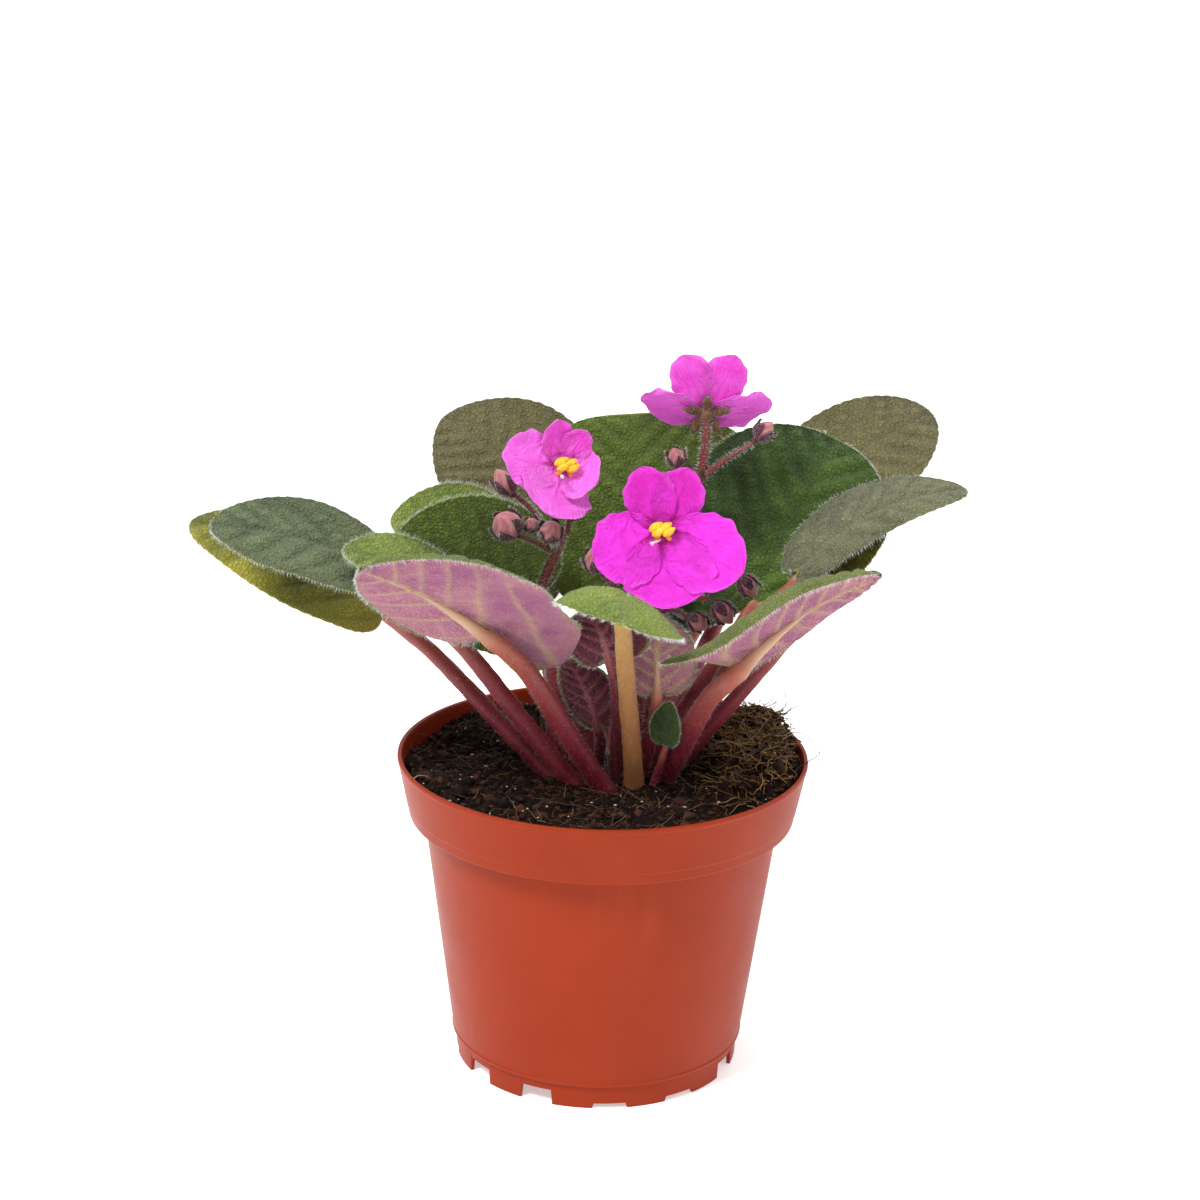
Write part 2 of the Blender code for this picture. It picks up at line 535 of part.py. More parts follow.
def add_soil():
    spokes = 36
    turn = np.arange(spokes) * 2 * pi / spokes
    points = [(0, 0, float(soil_height(0.0, 0.0)))]
    edge = wall_inside(SOIL_LEVEL) - SOIL_GAP
    for share in (0.14, 0.28, 0.4, 0.52, 0.64, 0.76, 0.88, 0.96):
        for a in turn:
            x, y = edge * share * cos(a), edge * share * sin(a)
            points.append((x, y, float(soil_height(x, y))))
    for a in turn:
        x, y = edge * cos(a), edge * sin(a)
        points.append((x, y, min(float(soil_height(x, y)), POT_HEIGHT + 2.0) - 0.8))
    for z in (BAND_FOOT + 3.4, BAND_FOOT + 0.4, FLOOR_TOP + 2.6):
        r = wall_inside(z if z > 40 else z - 0.6) - (1.6 if z > 78 else SOIL_GAP + 0.1)
        points += [(r * cos(a), r * sin(a), z) for a in turn]
    r = WALL_FOOT_RADIUS - WALL - 2.4
    points += [(r * cos(a), r * sin(a), SOIL_FLOOR) for a in turn]
    rows = (len(points) - 1) // spokes
    points.append((0, 0, SOIL_FLOOR))
    last = len(points) - 1
    faces = []
    for j in range(spokes):
        k = (j + 1) % spokes
        faces.append((0, 1 + j, 1 + k))
        for i in range(rows - 1):
            a = 1 + i * spokes
            faces.append((a + j, a + spokes + j, a + spokes + k, a + k))
        a = 1 + (rows - 1) * spokes
        faces.append((a + j, last, a + k))
    paint(add_mesh("soil", points, faces), "peat")


def add_flower(name, flower):
    face = unit(np.array(flower["face"], float))
    up = flower["up"]
    centre = np.array(flower["centre"], float)
    spokes = 32
    reach, bend = lobed(flower["lobes"], spokes, 5.0, 0.42)
    item = disc_shell(name + "_petals", centre, face, up, reach, bend, 4, spokes, PETAL_THICKNESS)
    paint(item, "petal")
    sepals = [(90 + 72 * k, 6.5, 22, -25) for k in range(5)]
    reach, bend = lobed(sepals, 20, 1.6, 0.9)
    item = disc_shell(name + "_sepals", centre - face * 1.5, face, up, reach, bend, 2, 20, 0.6)
    paint(item, "sepal")
    aside = np.cross(unit(np.array(up, float)), face)
    first = ball(name + "_anthers", centre + face * 2.6 - aside * 1.3, up, 5.0, 1.9, 6, 8)
    second = ball(name + "_anther_two", centre + face * 2.8 + aside * 1.5, up, 4.6, 1.9, 6, 8)
    boolean(first, second, "UNION")
    paint(first, "anther")
    down = -unit(np.array(up, float))
    start = centre + face * 1.2 + down * 2.9 - aside * 0.8
    path = smooth_path((start, start + face * 2.4 + down * 0.6 - aside * 0.6, start + face * 4.8 + down * 1.4 - aside * 1.6), 5)
    item = tube(name + "_pistil", path, np.array((0.45, 0.42, 0.4, 0.42, 0.6)), 5)
    paint(item, "pistil")


def add_stalk(name, stalk):
    path = smooth_path(stalk["stem"], 12)
    item = tube(name, path, np.linspace(stalk["radius"][0], stalk["radius"][1], 12), 7)
    for k, side in enumerate(stalk["sides"]):
        path = smooth_path(side, 6)
        boolean(item, tube(name + "_side", path, np.linspace(0.95, 0.8, 6), 5), "UNION")
    paint(item, "stalk")


clear_scene()
add_pot()
add_soil()
paint(ball("crown", (CROWN_CENTRE[0], CROWN_CENTRE[1], 87.2), (0, 0, 1), 4.6, 2.8, 6, 12), "crown")
for leaf_name, leaf_spec in LEAVES.items():
    add_leaf(leaf_name, leaf_spec)
for stalk_name, stalk_spec in STALKS.items():
    add_stalk(stalk_name, stalk_spec)
for flower_name, flower_spec in FLOWERS.items():
    add_flower(flower_name, flower_spec)
for bud_name, (middle, axis, length, radius) in BUDS.items():
    paint(ball(bud_name, middle, axis, length, radius, 6, 8), "bud")
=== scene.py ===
import json
import bpy
import numpy as np
from mathutils import Matrix, Vector

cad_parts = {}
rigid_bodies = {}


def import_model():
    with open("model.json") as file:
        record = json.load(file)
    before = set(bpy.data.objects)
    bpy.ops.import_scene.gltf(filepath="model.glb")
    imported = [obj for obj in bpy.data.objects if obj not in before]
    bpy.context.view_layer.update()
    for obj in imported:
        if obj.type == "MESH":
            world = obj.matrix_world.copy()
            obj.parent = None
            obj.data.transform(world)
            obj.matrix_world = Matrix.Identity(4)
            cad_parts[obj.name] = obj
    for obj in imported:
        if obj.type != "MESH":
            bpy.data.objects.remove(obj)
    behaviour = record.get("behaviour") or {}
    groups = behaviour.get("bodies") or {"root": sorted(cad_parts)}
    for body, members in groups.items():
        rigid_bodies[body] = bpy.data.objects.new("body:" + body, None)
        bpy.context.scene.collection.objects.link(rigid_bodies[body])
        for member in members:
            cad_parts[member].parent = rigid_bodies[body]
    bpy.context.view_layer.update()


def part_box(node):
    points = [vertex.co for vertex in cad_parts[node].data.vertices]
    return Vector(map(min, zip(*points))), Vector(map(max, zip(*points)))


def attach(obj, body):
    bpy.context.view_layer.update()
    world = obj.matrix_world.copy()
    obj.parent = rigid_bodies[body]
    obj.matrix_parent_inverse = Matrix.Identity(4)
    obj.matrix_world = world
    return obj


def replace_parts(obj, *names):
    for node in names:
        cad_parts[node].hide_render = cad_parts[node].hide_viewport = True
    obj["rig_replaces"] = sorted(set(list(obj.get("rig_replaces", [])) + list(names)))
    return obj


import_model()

mm = 0.001
potLow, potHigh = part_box("pot")
potAxis = np.array([(potLow.x + potHigh.x) / 2, (potLow.y + potHigh.y) / 2, potLow.z]) / mm
rimRadius = (potHigh.x - potLow.x) / 2 / mm
potHeight = (potHigh.z - potLow.z) / mm


# plain numpy tools; every length is in millimetres from the pot's axis at table level

def unit(v):  # each vector divided by its own length
    return v / np.maximum(np.linalg.norm(v, axis=-1, keepdims=True), 1e-9)


def smoothStep(low, high, x):  # 0 below low, 1 above high, 3t^2 - 2t^3 between
    t = np.clip((x - low) / (high - low), 0, 1)
    return t * t * (3 - 2 * t)


def lumps(points, size, seed):
    # value noise: random numbers on a lattice of that size, blended between its eight corners, -1 to 1
    table = np.random.default_rng(seed).uniform(-1, 1, 8192)
    place = np.asarray(points, float) / size
    cell = np.floor(place).astype(np.int64)
    part = place - cell
    part = part * part * (3 - 2 * part)
    total = np.zeros(place.shape[:-1])
    for corner in range(8):
        step = np.array([corner & 1, corner >> 1 & 1, corner >> 2 & 1])
        key = ((cell + step) * np.array([73856093, 19349663, 83492791])).sum(-1) % 8192
        total += table[key] * np.where(step == 1, part, 1 - part).prod(-1)
    return total


def throughPoints(points, count):
    # Catmull-Rom: each span is the cubic whose slope at a point is half the step between its neighbours
    p = np.array(points, float)
    p = np.vstack([2 * p[0] - p[1], p, 2 * p[-1] - p[-2]])
    t = np.linspace(0, len(p) - 3, count)
    i = np.minimum(t.astype(int), len(p) - 4)
    s = (t - i)[:, None]
    a, b, c, d = p[i], p[i + 1], p[i + 2], p[i + 3]
    return 0.5 * (2 * b + (c - a) * s + (2 * a - 5 * b + 4 * c - d) * s ** 2
                  + (3 * b - a - 3 * c + d) * s ** 3)


def shell(points, quads=None, tris=None, finish=0, **values):
    # a closed surface with its finish number and its per-point values; facing turns it outwards
    quads = np.zeros((0, 4), int) if quads is None else quads
    tris = np.zeros((0, 3), int) if tris is None else tris
    return dict(points=points, quads=quads, tris=tris, finish=finish, values=values)


def facing(part):
    # a closed shell's volume is the sum of its triangles' determinants; a negative one is turned over
    p, q, t = part["points"], part["quads"], part["tris"]
    both = np.concatenate([q[:, [0, 1, 2]], q[:, [0, 2, 3]], t])
    if np.linalg.det(p[both] - p.mean(0)).sum() < 0:
        part["quads"], part["tris"] = q[:, ::-1], t[:, ::-1]
    return part


def ringShell(rings, finish=0, start=None, end=None, **values):
    # rings of points joined side to side, with a fan of triangles to one point at each end
    count, around = rings.shape[:2]
    start = rings[0].mean(0) if start is None else start
    end = rings[-1].mean(0) if end is None else end
    points = np.concatenate([rings.reshape(-1, 3), [start], [end]])
    i, j = np.meshgrid(np.arange(count - 1), np.arange(around), indexing="ij")
    k = (j + 1) % around
    quads = np.stack([i * around + j, (i + 1) * around + j, (i + 1) * around + k, i * around + k], -1)
    j = np.arange(around)
    k = (j + 1) % around
    last = (count - 1) * around
    tris = np.concatenate([np.stack([np.full(around, count * around), j, k], -1),
                           np.stack([np.full(around, count * around + 1), last + k, last + j], -1)])
    for key, value in values.items():
        value = np.broadcast_to(value, (count, around)).astype(float)
        values[key] = np.concatenate([value.ravel(), [value[0].mean(), value[-1].mean()]])
    return facing(shell(points, quads.reshape(-1, 4), tris, finish, **values))


def bothSides(upper, under=None):
    # a sheet's ring: its upper side one way across and its under side, or the same values, back again
    under = upper if under is None else under
    return np.concatenate([upper, under[:, ::-1]], 1)


def along(path, hint=(0.1, 0.2, 1.0)):
    # the path's direction at each point, and two directions square to it
    ahead = unit(np.gradient(path, axis=0))
    across = unit(np.cross(ahead, np.array(hint, float)))
    return ahead, across, np.cross(across, ahead)


def tube(path, radius, sides, finish=0, hint=(0.1, 0.2, 1.0), lump=0.0, seed=1, **values):
    # circles carried along a path, each point at radius times (1 + lump noise)
    ahead, across, over = along(path, hint)
    turn = np.arange(sides) * 2 * np.pi / sides
    out = np.cos(turn)[None, :, None] * across[:, None] + np.sin(turn)[None, :, None] * over[:, None]
    radius = np.broadcast_to(radius, (len(path),))[:, None, None]
    rings = path[:, None] + out * radius
    if lump:
        rings = rings + out * radius * lump * lumps(rings, 2.2, seed)[..., None]
    return ringShell(rings, finish, path[0], path[-1], **values)


def hairs(roots, ways, lengths, thick, finish=2, bent=True, seed=5):
    # each hair is a three-sided spike from its root; a bent one has a knee a little to one side
    rng = np.random.default_rng(seed)
    ways = unit(ways)
    n = len(roots)
    side = unit(np.cross(ways, unit(rng.normal(size=(n, 3)))))
    other = np.cross(ways, side)
    lengths = np.broadcast_to(lengths, (n,))[:, None]
    turn = np.arange(3) * 2 * np.pi / 3
    ring = np.cos(turn)[None, :, None] * side[:, None] + np.sin(turn)[None, :, None] * other[:, None]
    base = roots[:, None] - ways[:, None] * 0.1 + ring * thick
    tip = roots + ways * lengths
    if not bent:
        points = np.concatenate([base, tip[:, None]], 1).reshape(-1, 3)
        first = np.arange(n)[:, None] * 4
        faces = np.array([[0, 2, 1], [0, 1, 3], [1, 2, 3], [2, 0, 3]])
        tris = (first[:, None] + faces[None]).reshape(-1, 3)
        return facing(shell(points, None, tris, finish))
    lean = side * lengths * rng.uniform(-0.16, 0.16, (n, 1))
    middle = (roots + ways * lengths * 0.55 + lean)[:, None] + ring * thick * 0.75
    points = np.concatenate([base, middle, tip[:, None]], 1).reshape(-1, 3)
    first = np.arange(n)[:, None] * 7
    sides = np.array([[0, 1, 4, 3], [1, 2, 5, 4], [2, 0, 3, 5]])
    ends = np.array([[0, 2, 1], [3, 4, 6], [4, 5, 6], [5, 3, 6]])
    quads = (first[:, None] + sides[None]).reshape(-1, 4)
    return facing(shell(points, quads, (first[:, None] + ends[None]).reshape(-1, 3), finish))


def putMesh(name, parts, finishes, replaces=()):
    # all shells of a piece in one mesh, placed at the pot's axis, in metres
    starts = np.cumsum([0] + [len(p["points"]) for p in parts])
    points = np.concatenate([p["points"] for p in parts]) + potAxis
    quads = np.concatenate([p["quads"] + s for p, s in zip(parts, starts)])
    tris = np.concatenate([p["tris"] + s for p, s in zip(parts, starts)])
    wearing = np.concatenate([np.full(len(p["quads"]), p["finish"]) for p in parts]
                             + [np.full(len(p["tris"]), p["finish"]) for p in parts])
    mesh = bpy.data.meshes.new(name)
    mesh.vertices.add(len(points))
    mesh.vertices.foreach_set("co", (points * mm).astype(np.float32).ravel())
    corners = np.concatenate([quads.ravel(), tris.ravel()]).astype(np.int32)
    mesh.loops.add(len(corners))
    mesh.loops.foreach_set("vertex_index", corners)
    mesh.polygons.add(len(quads) + len(tris))
    firsts = np.concatenate([np.arange(len(quads)) * 4, len(quads) * 4 + np.arange(len(tris)) * 3])
    mesh.polygons.foreach_set("loop_start", firsts.astype(np.int32))
    mesh.polygons.foreach_set("material_index", wearing.astype(np.int32))
    for finish in finishes:
        mesh.materials.append(finish)
    mesh.update(calc_edges=True)
    mesh.validate()
    mesh.shade_smooth()
    for key in sorted({key for p in parts for key in p["values"]}):
        value = np.concatenate([np.broadcast_to(p["values"].get(key, 0.0), (len(p["points"]),))
                                for p in parts])
        mesh.attributes.new(key, "FLOAT", "POINT").data.foreach_set("value", value.astype(np.float32))
    piece = bpy.data.objects.new(name, mesh)
    bpy.context.scene.collection.objects.link(piece)
    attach(piece, "root")
    if replaces:
        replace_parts(piece, *replaces)
    return piece


# finishes

class Finish:
    # a small helper that adds nodes to one Principled material
    def __init__(self, name, **sockets):
        self.material = bpy.data.materials.new(name)
        self.material.use_nodes = True
        self.tree = self.material.node_tree
        self.shader = self.tree.nodes["Principled BSDF"]
        for key, value in sockets.items():
            self.shader.inputs[key.replace("_", " ")].default_value = value

    def node(self, kind, **settings):
        made = self.tree.nodes.new("ShaderNode" + kind)
        for key, value in settings.items():
            if key[0].isupper():
                self.feed(made.inputs[key.replace("_", " ")], value)
            else:
                setattr(made, key, value)
        return made

    def feed(self, socket, value):
        if isinstance(value, bpy.types.NodeSocket):
            self.tree.links.new(value, socket)
        else:
            socket.default_value = value

    def noise(self, scale, detail=3.0, rough=0.6, stretch=None):
        where = self.node("TexCoord").outputs["Object"]
        if stretch:
            where = self.node("Mapping", Vector=where, Scale=stretch).outputs[0]
        return self.node("TexNoise", Vector=where, Scale=scale, Detail=detail,
                         Roughness=rough).outputs["Fac"]

    def cells(self, scale, feature="DISTANCE_TO_EDGE"):
        where = self.node("TexCoord").outputs["Object"]
        return self.node("TexVoronoi", feature=feature, Vector=where, Scale=scale).outputs["Distance"]

    def value(self, name):
        return self.node("Attribute", attribute_name=name).outputs["Fac"]

    def mix(self, share, first, second, how="MIX"):
        made = self.node("Mix", data_type="RGBA", blend_type=how)
        self.feed(made.inputs[0], share)
        self.feed(made.inputs[6], first)
        self.feed(made.inputs[7], second)
        return made.outputs[2]

    def span(self, value, low, high, out=(0.0, 1.0)):
        made = self.node("MapRange", From_Min=low, From_Max=high, To_Min=out[0], To_Max=out[1])
        self.feed(made.inputs["Value"], value)
        return made.outputs[0]

    def sum(self, first, second, how="ADD"):
        made = self.node("Math", operation=how)
        self.feed(made.inputs[0], first)
        self.feed(made.inputs[1], second)
        return made.outputs[0]

    def times(self, value, factor):
        return self.sum(value, factor, "MULTIPLY")

    def bump(self, height, depth, strength=1.0):
        made = self.node("Bump", Strength=strength, Distance=depth)
        self.feed(made.inputs["Height"], height)
        self.feed(self.shader.inputs["Normal"], made.outputs[0])

    def colour(self, value):
        self.feed(self.shader.inputs["Base Color"], value)
        return self.material

    def rough(self, value):
        self.feed(self.shader.inputs["Roughness"], value)


def potFinish(look):
    # moulded plastic: slight cloudiness, faint upright scuffs and a fine orange-peel bump
    f = Finish("potPlastic", IOR=1.5, Specular_IOR_Level=look["gloss"])
    cloud = f.noise(28.0, 4.0)
    scuff = f.noise(90.0, 3.0, 0.7, (1.0, 1.0, 0.08))
    base = f.mix(f.span(cloud, 0.3, 0.7), look["colour"], look["paler"])
    base = f.mix(f.span(scuff, 0.58, 0.8, (0.0, 0.18)), base, look["scuff"])
    f.rough(f.span(f.noise(60.0, 4.0), 0.3, 0.7, look["roughness"]))
    f.bump(f.sum(f.noise(900.0, 2.0), f.times(scuff, 0.5)), 0.00006, 0.5)
    return f.colour(base)


def bladeFinish(name, look):
    # green velvet above and mauve or green below, chosen by the point value "upper"; veins by "vein"; painted
    # shade in the quilting by "pad" and painted light by "glow" on the upper side
    f = Finish(name, Sheen_Weight=look["sheen"], Sheen_Roughness=0.4, Specular_IOR_Level=0.14,
               Subsurface_Weight=0.06, Subsurface_Scale=0.0015)
    f.shader.inputs["Sheen Tint"].default_value = look["sheenTint"]
    blotch = f.span(f.noise(70.0, 4.0), 0.32, 0.68)
    pile = f.noise(1500.0, 2.0, 0.7)
    grain = f.noise(480.0, 3.0, 0.6)
    net = f.span(f.cells(820.0), 0.0, 0.22)
    vein = f.value("vein")
    rim = f.value("rim")
    pad = f.value("pad")
    # painted shade: the raised pads between the veins are painted lighter and the sunk veins darker; blotch
    # and grain add random tone
    depth = f.sum(f.times(pad, 0.75), f.span(grain, 0.3, 0.7, (-0.18, 0.18)))
    top = f.mix(f.sum(f.times(blotch, 0.45), depth), look["dark"], look["light"])
    # painted light: "glow" mixes in the bright green, random patches plus the end and side that each leaf's
    # "sun" paints lighter
    top = f.mix(f.span(f.value("glow"), 0.0, 1.0, (0.0, look["glow"])), top, look["bright"])
    top = f.mix(f.span(net, 1.0, 0.0, (0.0, 0.35)), top, look["netTop"])
    top = f.mix(f.times(vein, look["veinShow"]), top, look["veinTop"])
    top = f.mix(f.span(pile, 0.45, 0.75, (0.0, look["silver"])), top, look["silverColour"])
    under = f.mix(blotch, look["underDark"], look["underLight"])
    under = f.mix(f.span(pad, 0.75, 0.1, (0.0, 0.15)), under, look["underPale"])
    under = f.mix(f.span(grain, 0.35, 0.65, (0.0, 0.25)), under, look["underDark"])
    under = f.mix(f.span(net, 1.0, 0.0, (0.0, 0.10)), under, look["underNet"])
    under = f.mix(f.span(vein, 0.2, 0.8, (0.0, 0.8)), under, look["underVein"])
    under = f.mix(f.span(rim, 0.80, 1.0, (0.0, 0.75)), under, look["bright"])
    top = f.mix(f.span(rim, 0.93, 1.0, (0.0, 0.5)), top, look["bright"])
    f.rough(f.span(pile, 0.3, 0.7, (0.55, 0.8)))
    fine = f.sum(f.times(pile, 0.4), f.times(net, 0.5))
    f.bump(f.sum(f.times(grain, 1.6), fine), 0.0007, 0.9)
    return f.colour(f.mix(f.value("upper"), under, top))


def stemFinish(name, look):
    # fleshy stalk: the foot's colour turns into the top's by "tone", with long streaks
    f = Finish(name, Sheen_Weight=0.10, Sheen_Roughness=0.3, Specular_IOR_Level=0.45,
               Subsurface_Weight=0.1, Subsurface_Scale=0.002)
    f.shader.inputs["Sheen Tint"].default_value = (1, 0.6, 0.6, 1)
    streak = f.noise(260.0, 3.0, 0.6, (1.0, 1.0, 0.14))
    base = f.mix(f.value("tone"), look["foot"], look["top"])
    base = f.mix(f.span(streak, 0.4, 0.75, (0.0, 0.45)), base, look["streak"])
    base = f.mix(f.span(f.noise(1200.0, 1.0), 0.62, 0.72, (0.0, 0.35)), base, look["speck"])
    base = f.mix(f.value("rib"), base, look.get("rib", look["top"]))
    f.rough(f.span(streak, 0.3, 0.7, (0.38, 0.6)))
    f.bump(f.sum(f.noise(1100.0, 2.0), streak), 0.00015, 0.5)
    return f.colour(base)


def hairFinish():
    f = Finish("whiteHair", Roughness=0.4, Specular_IOR_Level=0.5, Subsurface_Weight=0.3,
               Subsurface_Scale=0.001)
    return f.colour(f.mix(f.noise(300.0), (0.78, 0.82, 0.72, 1), (0.93, 0.93, 0.90, 1)))


def petalFinish(name, look):
    # satin petal: darker throat by "throat", paler rim by "rim", fine lengthwise veins by "vein"
    f = Finish(name, Roughness=0.5, Sheen_Weight=0.15, Sheen_Roughness=0.3, Specular_IOR_Level=0.15,
               Subsurface_Weight=0.25, Subsurface_Scale=0.003)
    f.shader.inputs["Sheen Tint"].default_value = (1, 0.75, 0.97, 1)
    f.shader.inputs["Subsurface Radius"].default_value = (1.0, 0.3, 0.8)
    mottle = f.noise(160.0, 5.0, 0.6)
    base = f.mix(f.sum(f.value("tone"), f.span(mottle, 0.3, 0.7, (-0.3, 0.3))), look["deep"], look["main"])
    base = f.mix(f.times(f.value("vein"), 0.35), base, look["veins"])
    base = f.mix(f.span(f.value("rim"), 0.6, 1.0, (0.0, 0.35)), base, look["rim"])
    base = f.mix(f.value("throat"), base, look["throat"])
    glitter = f.cells(2600.0, "F1")
    f.bump(f.sum(f.times(glitter, 0.5), f.sum(f.times(mottle, 2.0), f.value("vein"))), 0.0004, 0.8)
    return f.colour(base)


def plainFinish(name, first, second, roughness, grain=400.0, depth=0.0002, **sockets):
    # two colours mottled together, with a matching bump
    f = Finish(name, **sockets)
    mottle = f.noise(grain, 4.0, 0.65)
    f.rough(f.span(mottle, 0.3, 0.7, roughness))
    f.bump(mottle, depth, 0.8)
    return f.colour(f.mix(f.span(mottle, 0.35, 0.65), first, second))


def shadedFinish(name, dark, pale, roughness, grain=500.0, depth=0.0003, **sockets):
    # colour from each lump's own "shade", mottled a little
    f = Finish(name, **sockets)
    mottle = f.noise(grain, 4.0, 0.7)
    f.rough(f.span(mottle, 0.3, 0.7, roughness))
    f.bump(mottle, depth, 1.0)
    share = f.sum(f.value("shade"), f.span(mottle, 0.3, 0.7, (-0.2, 0.2)))
    return f.colour(f.mix(share, dark, pale))


whiteHair = hairFinish()
print("finishes ready")


# the pot: one turned outline, moulded wall and lip, with the notched skirt under it

pot = dict(
    wall=1.1, bandFoot=76.0, wallTop=52.0, wallFoot=43.2, skirt=42.0, floorTop=6.2, floorUnder=5.0,
    notchPitch=30.0, firstNotch=216.0, notchDepths=(4.5, 4.5, 1.5, 1.5), notchHalf=(7.0, 6.35),
    drains=8, drainRing=29.0, drainRadius=4.0,
    look=dict(colour=(0.285, 0.027, 0.0048, 1), paler=(0.32, 0.033, 0.0070, 1),
              scuff=(0.42, 0.075, 0.030, 1),
              roughness=(0.36, 0.46), gloss=0.14),
)


def rounded(corners, sizes, steps=4):
    # each corner of the outline becomes a small quadratic arc, with a support point beside it on each side
    p = np.array(corners, float)
    out = [p[:1]]
    for before, here, after, size in zip(p[:-2], p[1:-1], p[2:], sizes):
        a, b = before - here, after - here
        size = min(size, 0.42 * np.linalg.norm(a), 0.42 * np.linalg.norm(b))
        a, b = here + unit(a) * size, here + unit(b) * size
        t = np.linspace(0, 1, steps)[:, None]
        arc = (1 - t) ** 2 * a + 2 * t * (1 - t) * here + t * t * b
        out += [(here + (a - here) * 1.18)[None], arc, (here + (b - here) * 1.18)[None]]
    return np.vstack(out + [p[-1:]])


def filled(outline, gap):
    # long straight runs get points in between, at most that far apart
    parts = []
    for a, b in zip(outline[:-1], outline[1:]):
        count = max(1, int(np.ceil(np.linalg.norm(b - a) / gap)))
        parts.append(a + (b - a) * (np.arange(count) / count)[:, None])
    return np.vstack(parts + [outline[-1:]])


wallIn = pot["wallTop"] - pot["wall"]
footIn = pot["wallFoot"] - pot["wall"]
band = rimRadius - 3.9
foot = pot["bandFoot"]
potCorners = (
    ((0.02, 6.2), 0), ((footIn - 1.6, 6.2), 0.8), ((footIn - 0.4, 7.2), 0.5),
    ((wallIn - 0.4, foot - 1.4), 0.6),
    ((wallIn + 0.4, foot + 0.2), 0.5), ((band - 1.7, foot + 1.1), 0.5), ((band - 0.6, foot + 2.6), 0.6),
    ((rimRadius - 1.6, potHeight - 0.9), 0.3), ((rimRadius - 1.25, potHeight - 0.1), 0.25),
    ((rimRadius - 0.15, potHeight), 0.3), ((rimRadius, potHeight - 1.0), 0.3),
    ((rimRadius - 0.28, potHeight - 1.5), 0.2),
    ((band + 1.12, foot + 3.75), 0.14), ((band + 0.92, foot + 3.45), 0.14),
    ((band + 0.35, foot + 0.35), 0.45), ((band - 0.6, foot), 0.3),
    ((pot["wallTop"] + 0.5, foot - 0.25), 0.35), ((pot["wallTop"], foot - 1.4), 0.5),
    ((pot["wallFoot"] + 0.05, 8.5), 0.14), ((pot["wallFoot"] + 0.28, 8.2), 0.14),
    ((pot["wallFoot"] + 0.1, 7.4), 0.25),
    ((pot["skirt"] + 0.3, 7.0), 0.25), ((pot["skirt"], 0.0), 0.25), ((pot["skirt"] - 1.1, 0.0), 0.25),
    ((pot["skirt"] - 1.1, pot["floorUnder"]), 0.3), ((0.02, pot["floorUnder"]), 0),
)
outline = filled(rounded([c for c, size in potCorners], [size for c, size in potCorners][1:-1]), 2.4)


def notched(turn):
    # how far the skirt's lower edge is cut away at each angle, rising over a slanting side of each notch
    lap = np.degrees(turn) - pot["firstNotch"] + pot["notchPitch"] / 2
    which = np.floor(lap / pot["notchPitch"]).astype(int) % len(pot["notchDepths"])
    off = np.abs(lap % pot["notchPitch"] - pot["notchPitch"] / 2)
    wide, narrow = pot["notchHalf"]
    return np.array(pot["notchDepths"])[which] * (1 - np.clip((off - narrow) / (wide - narrow), 0, 1))


def buildPot():
    half = pot["notchPitch"] / 2
    wide, narrow = pot["notchHalf"]
    steps = np.concatenate([np.linspace(-half, -wide - 0.12, 10), [-wide, (-wide - narrow) / 2, -narrow],
                            np.linspace(-narrow + 0.12, narrow - 0.12, 14),
                            [narrow, (wide + narrow) / 2, wide],
                            np.linspace(wide + 0.12, half, 10)[:-1]])
    turn = np.radians((np.arange(round(360 / pot["notchPitch"]))[:, None] * pot["notchPitch"]
                       + pot["firstNotch"] + steps).ravel())
    r, z = outline[:, 0][:, None], outline[:, 1][:, None]
    place = np.arange(len(outline))[:, None]
    outer = np.argmax((outline[:, 1] < 7.0) & (outline[:, 0] > 41.5))
    inner = len(outline) - 1 - np.argmax(outline[::-1, 0] > pot["skirt"] - 1.3)
    skirt = (place >= outer) & (place <= inner)
    top = np.where(r > pot["skirt"] - 0.55, 7.0, pot["floorUnder"])
    lifted = notched(turn)[None]
    height = np.where(skirt, top - (top - lifted) * (top - z) / top, z)
    warp = 0.10 * np.sin(2 * turn + 0.6)[None] * np.clip(z / potHeight, 0, 1)  # the lip is very slightly oval
    radius = r * (1 + warp / rimRadius)
    rings = np.stack([radius * np.cos(turn), radius * np.sin(turn), height + 0 * turn], -1)
    body = ringShell(rings, 0, np.array([0, 0, 6.2]), np.array([0, 0, pot["floorUnder"]]))
    piece = putMesh("potShell", [body], [potFinish(pot["look"])], ("pot",))
    ring = (np.arange(pot["drains"]) + 0.5) * 2 * np.pi / pot["drains"]
    sides = 28
    around = np.arange(sides) * 2 * np.pi / sides
    holes = []
    for angle in ring:
        spot = np.array([np.cos(angle), np.sin(angle)]) * pot["drainRing"]
        circle = np.stack([np.cos(around), np.sin(around)], -1) * pot["drainRadius"] + spot
        ends = [np.column_stack([circle, np.full(sides, height)]) for height in (3.0, 8.0)]
        holes.append(ringShell(np.stack(ends)))
    cutter = putMesh("drainCutter", holes, [])
    step = piece.modifiers.new("drains", "BOOLEAN")
    step.operation, step.solver, step.object = "DIFFERENCE", "EXACT", cutter
    bpy.context.view_layer.update()
    cut = bpy.data.meshes.new_from_object(piece.evaluated_get(bpy.context.evaluated_depsgraph_get()))
    piece.modifiers.clear()
    piece.data = cut
    bpy.data.objects.remove(cutter)
    return piece


buildPot()
print("pot built")


# soil: a bed that fills the pot, with crumbs, coir and dead roots lying on it

soil = dict(
    level=89.5, floor=6.6, crown=(3.5, 1.0), pitLevel=87.6, pitRadius=14.0, pitEdge=30.0,
    dark=(0.0045, 0.0022, 0.0018, 1), pale=(0.026, 0.012, 0.008, 1),
    mounds=((12.5, 46, 14, 14, 17), (6.0, 44, -12, 12, 13)), around=380,
    crumbs=4200, bigCrumbs=200, fibres=1300, roots=26, rightRoots=19, flecks=90,
)


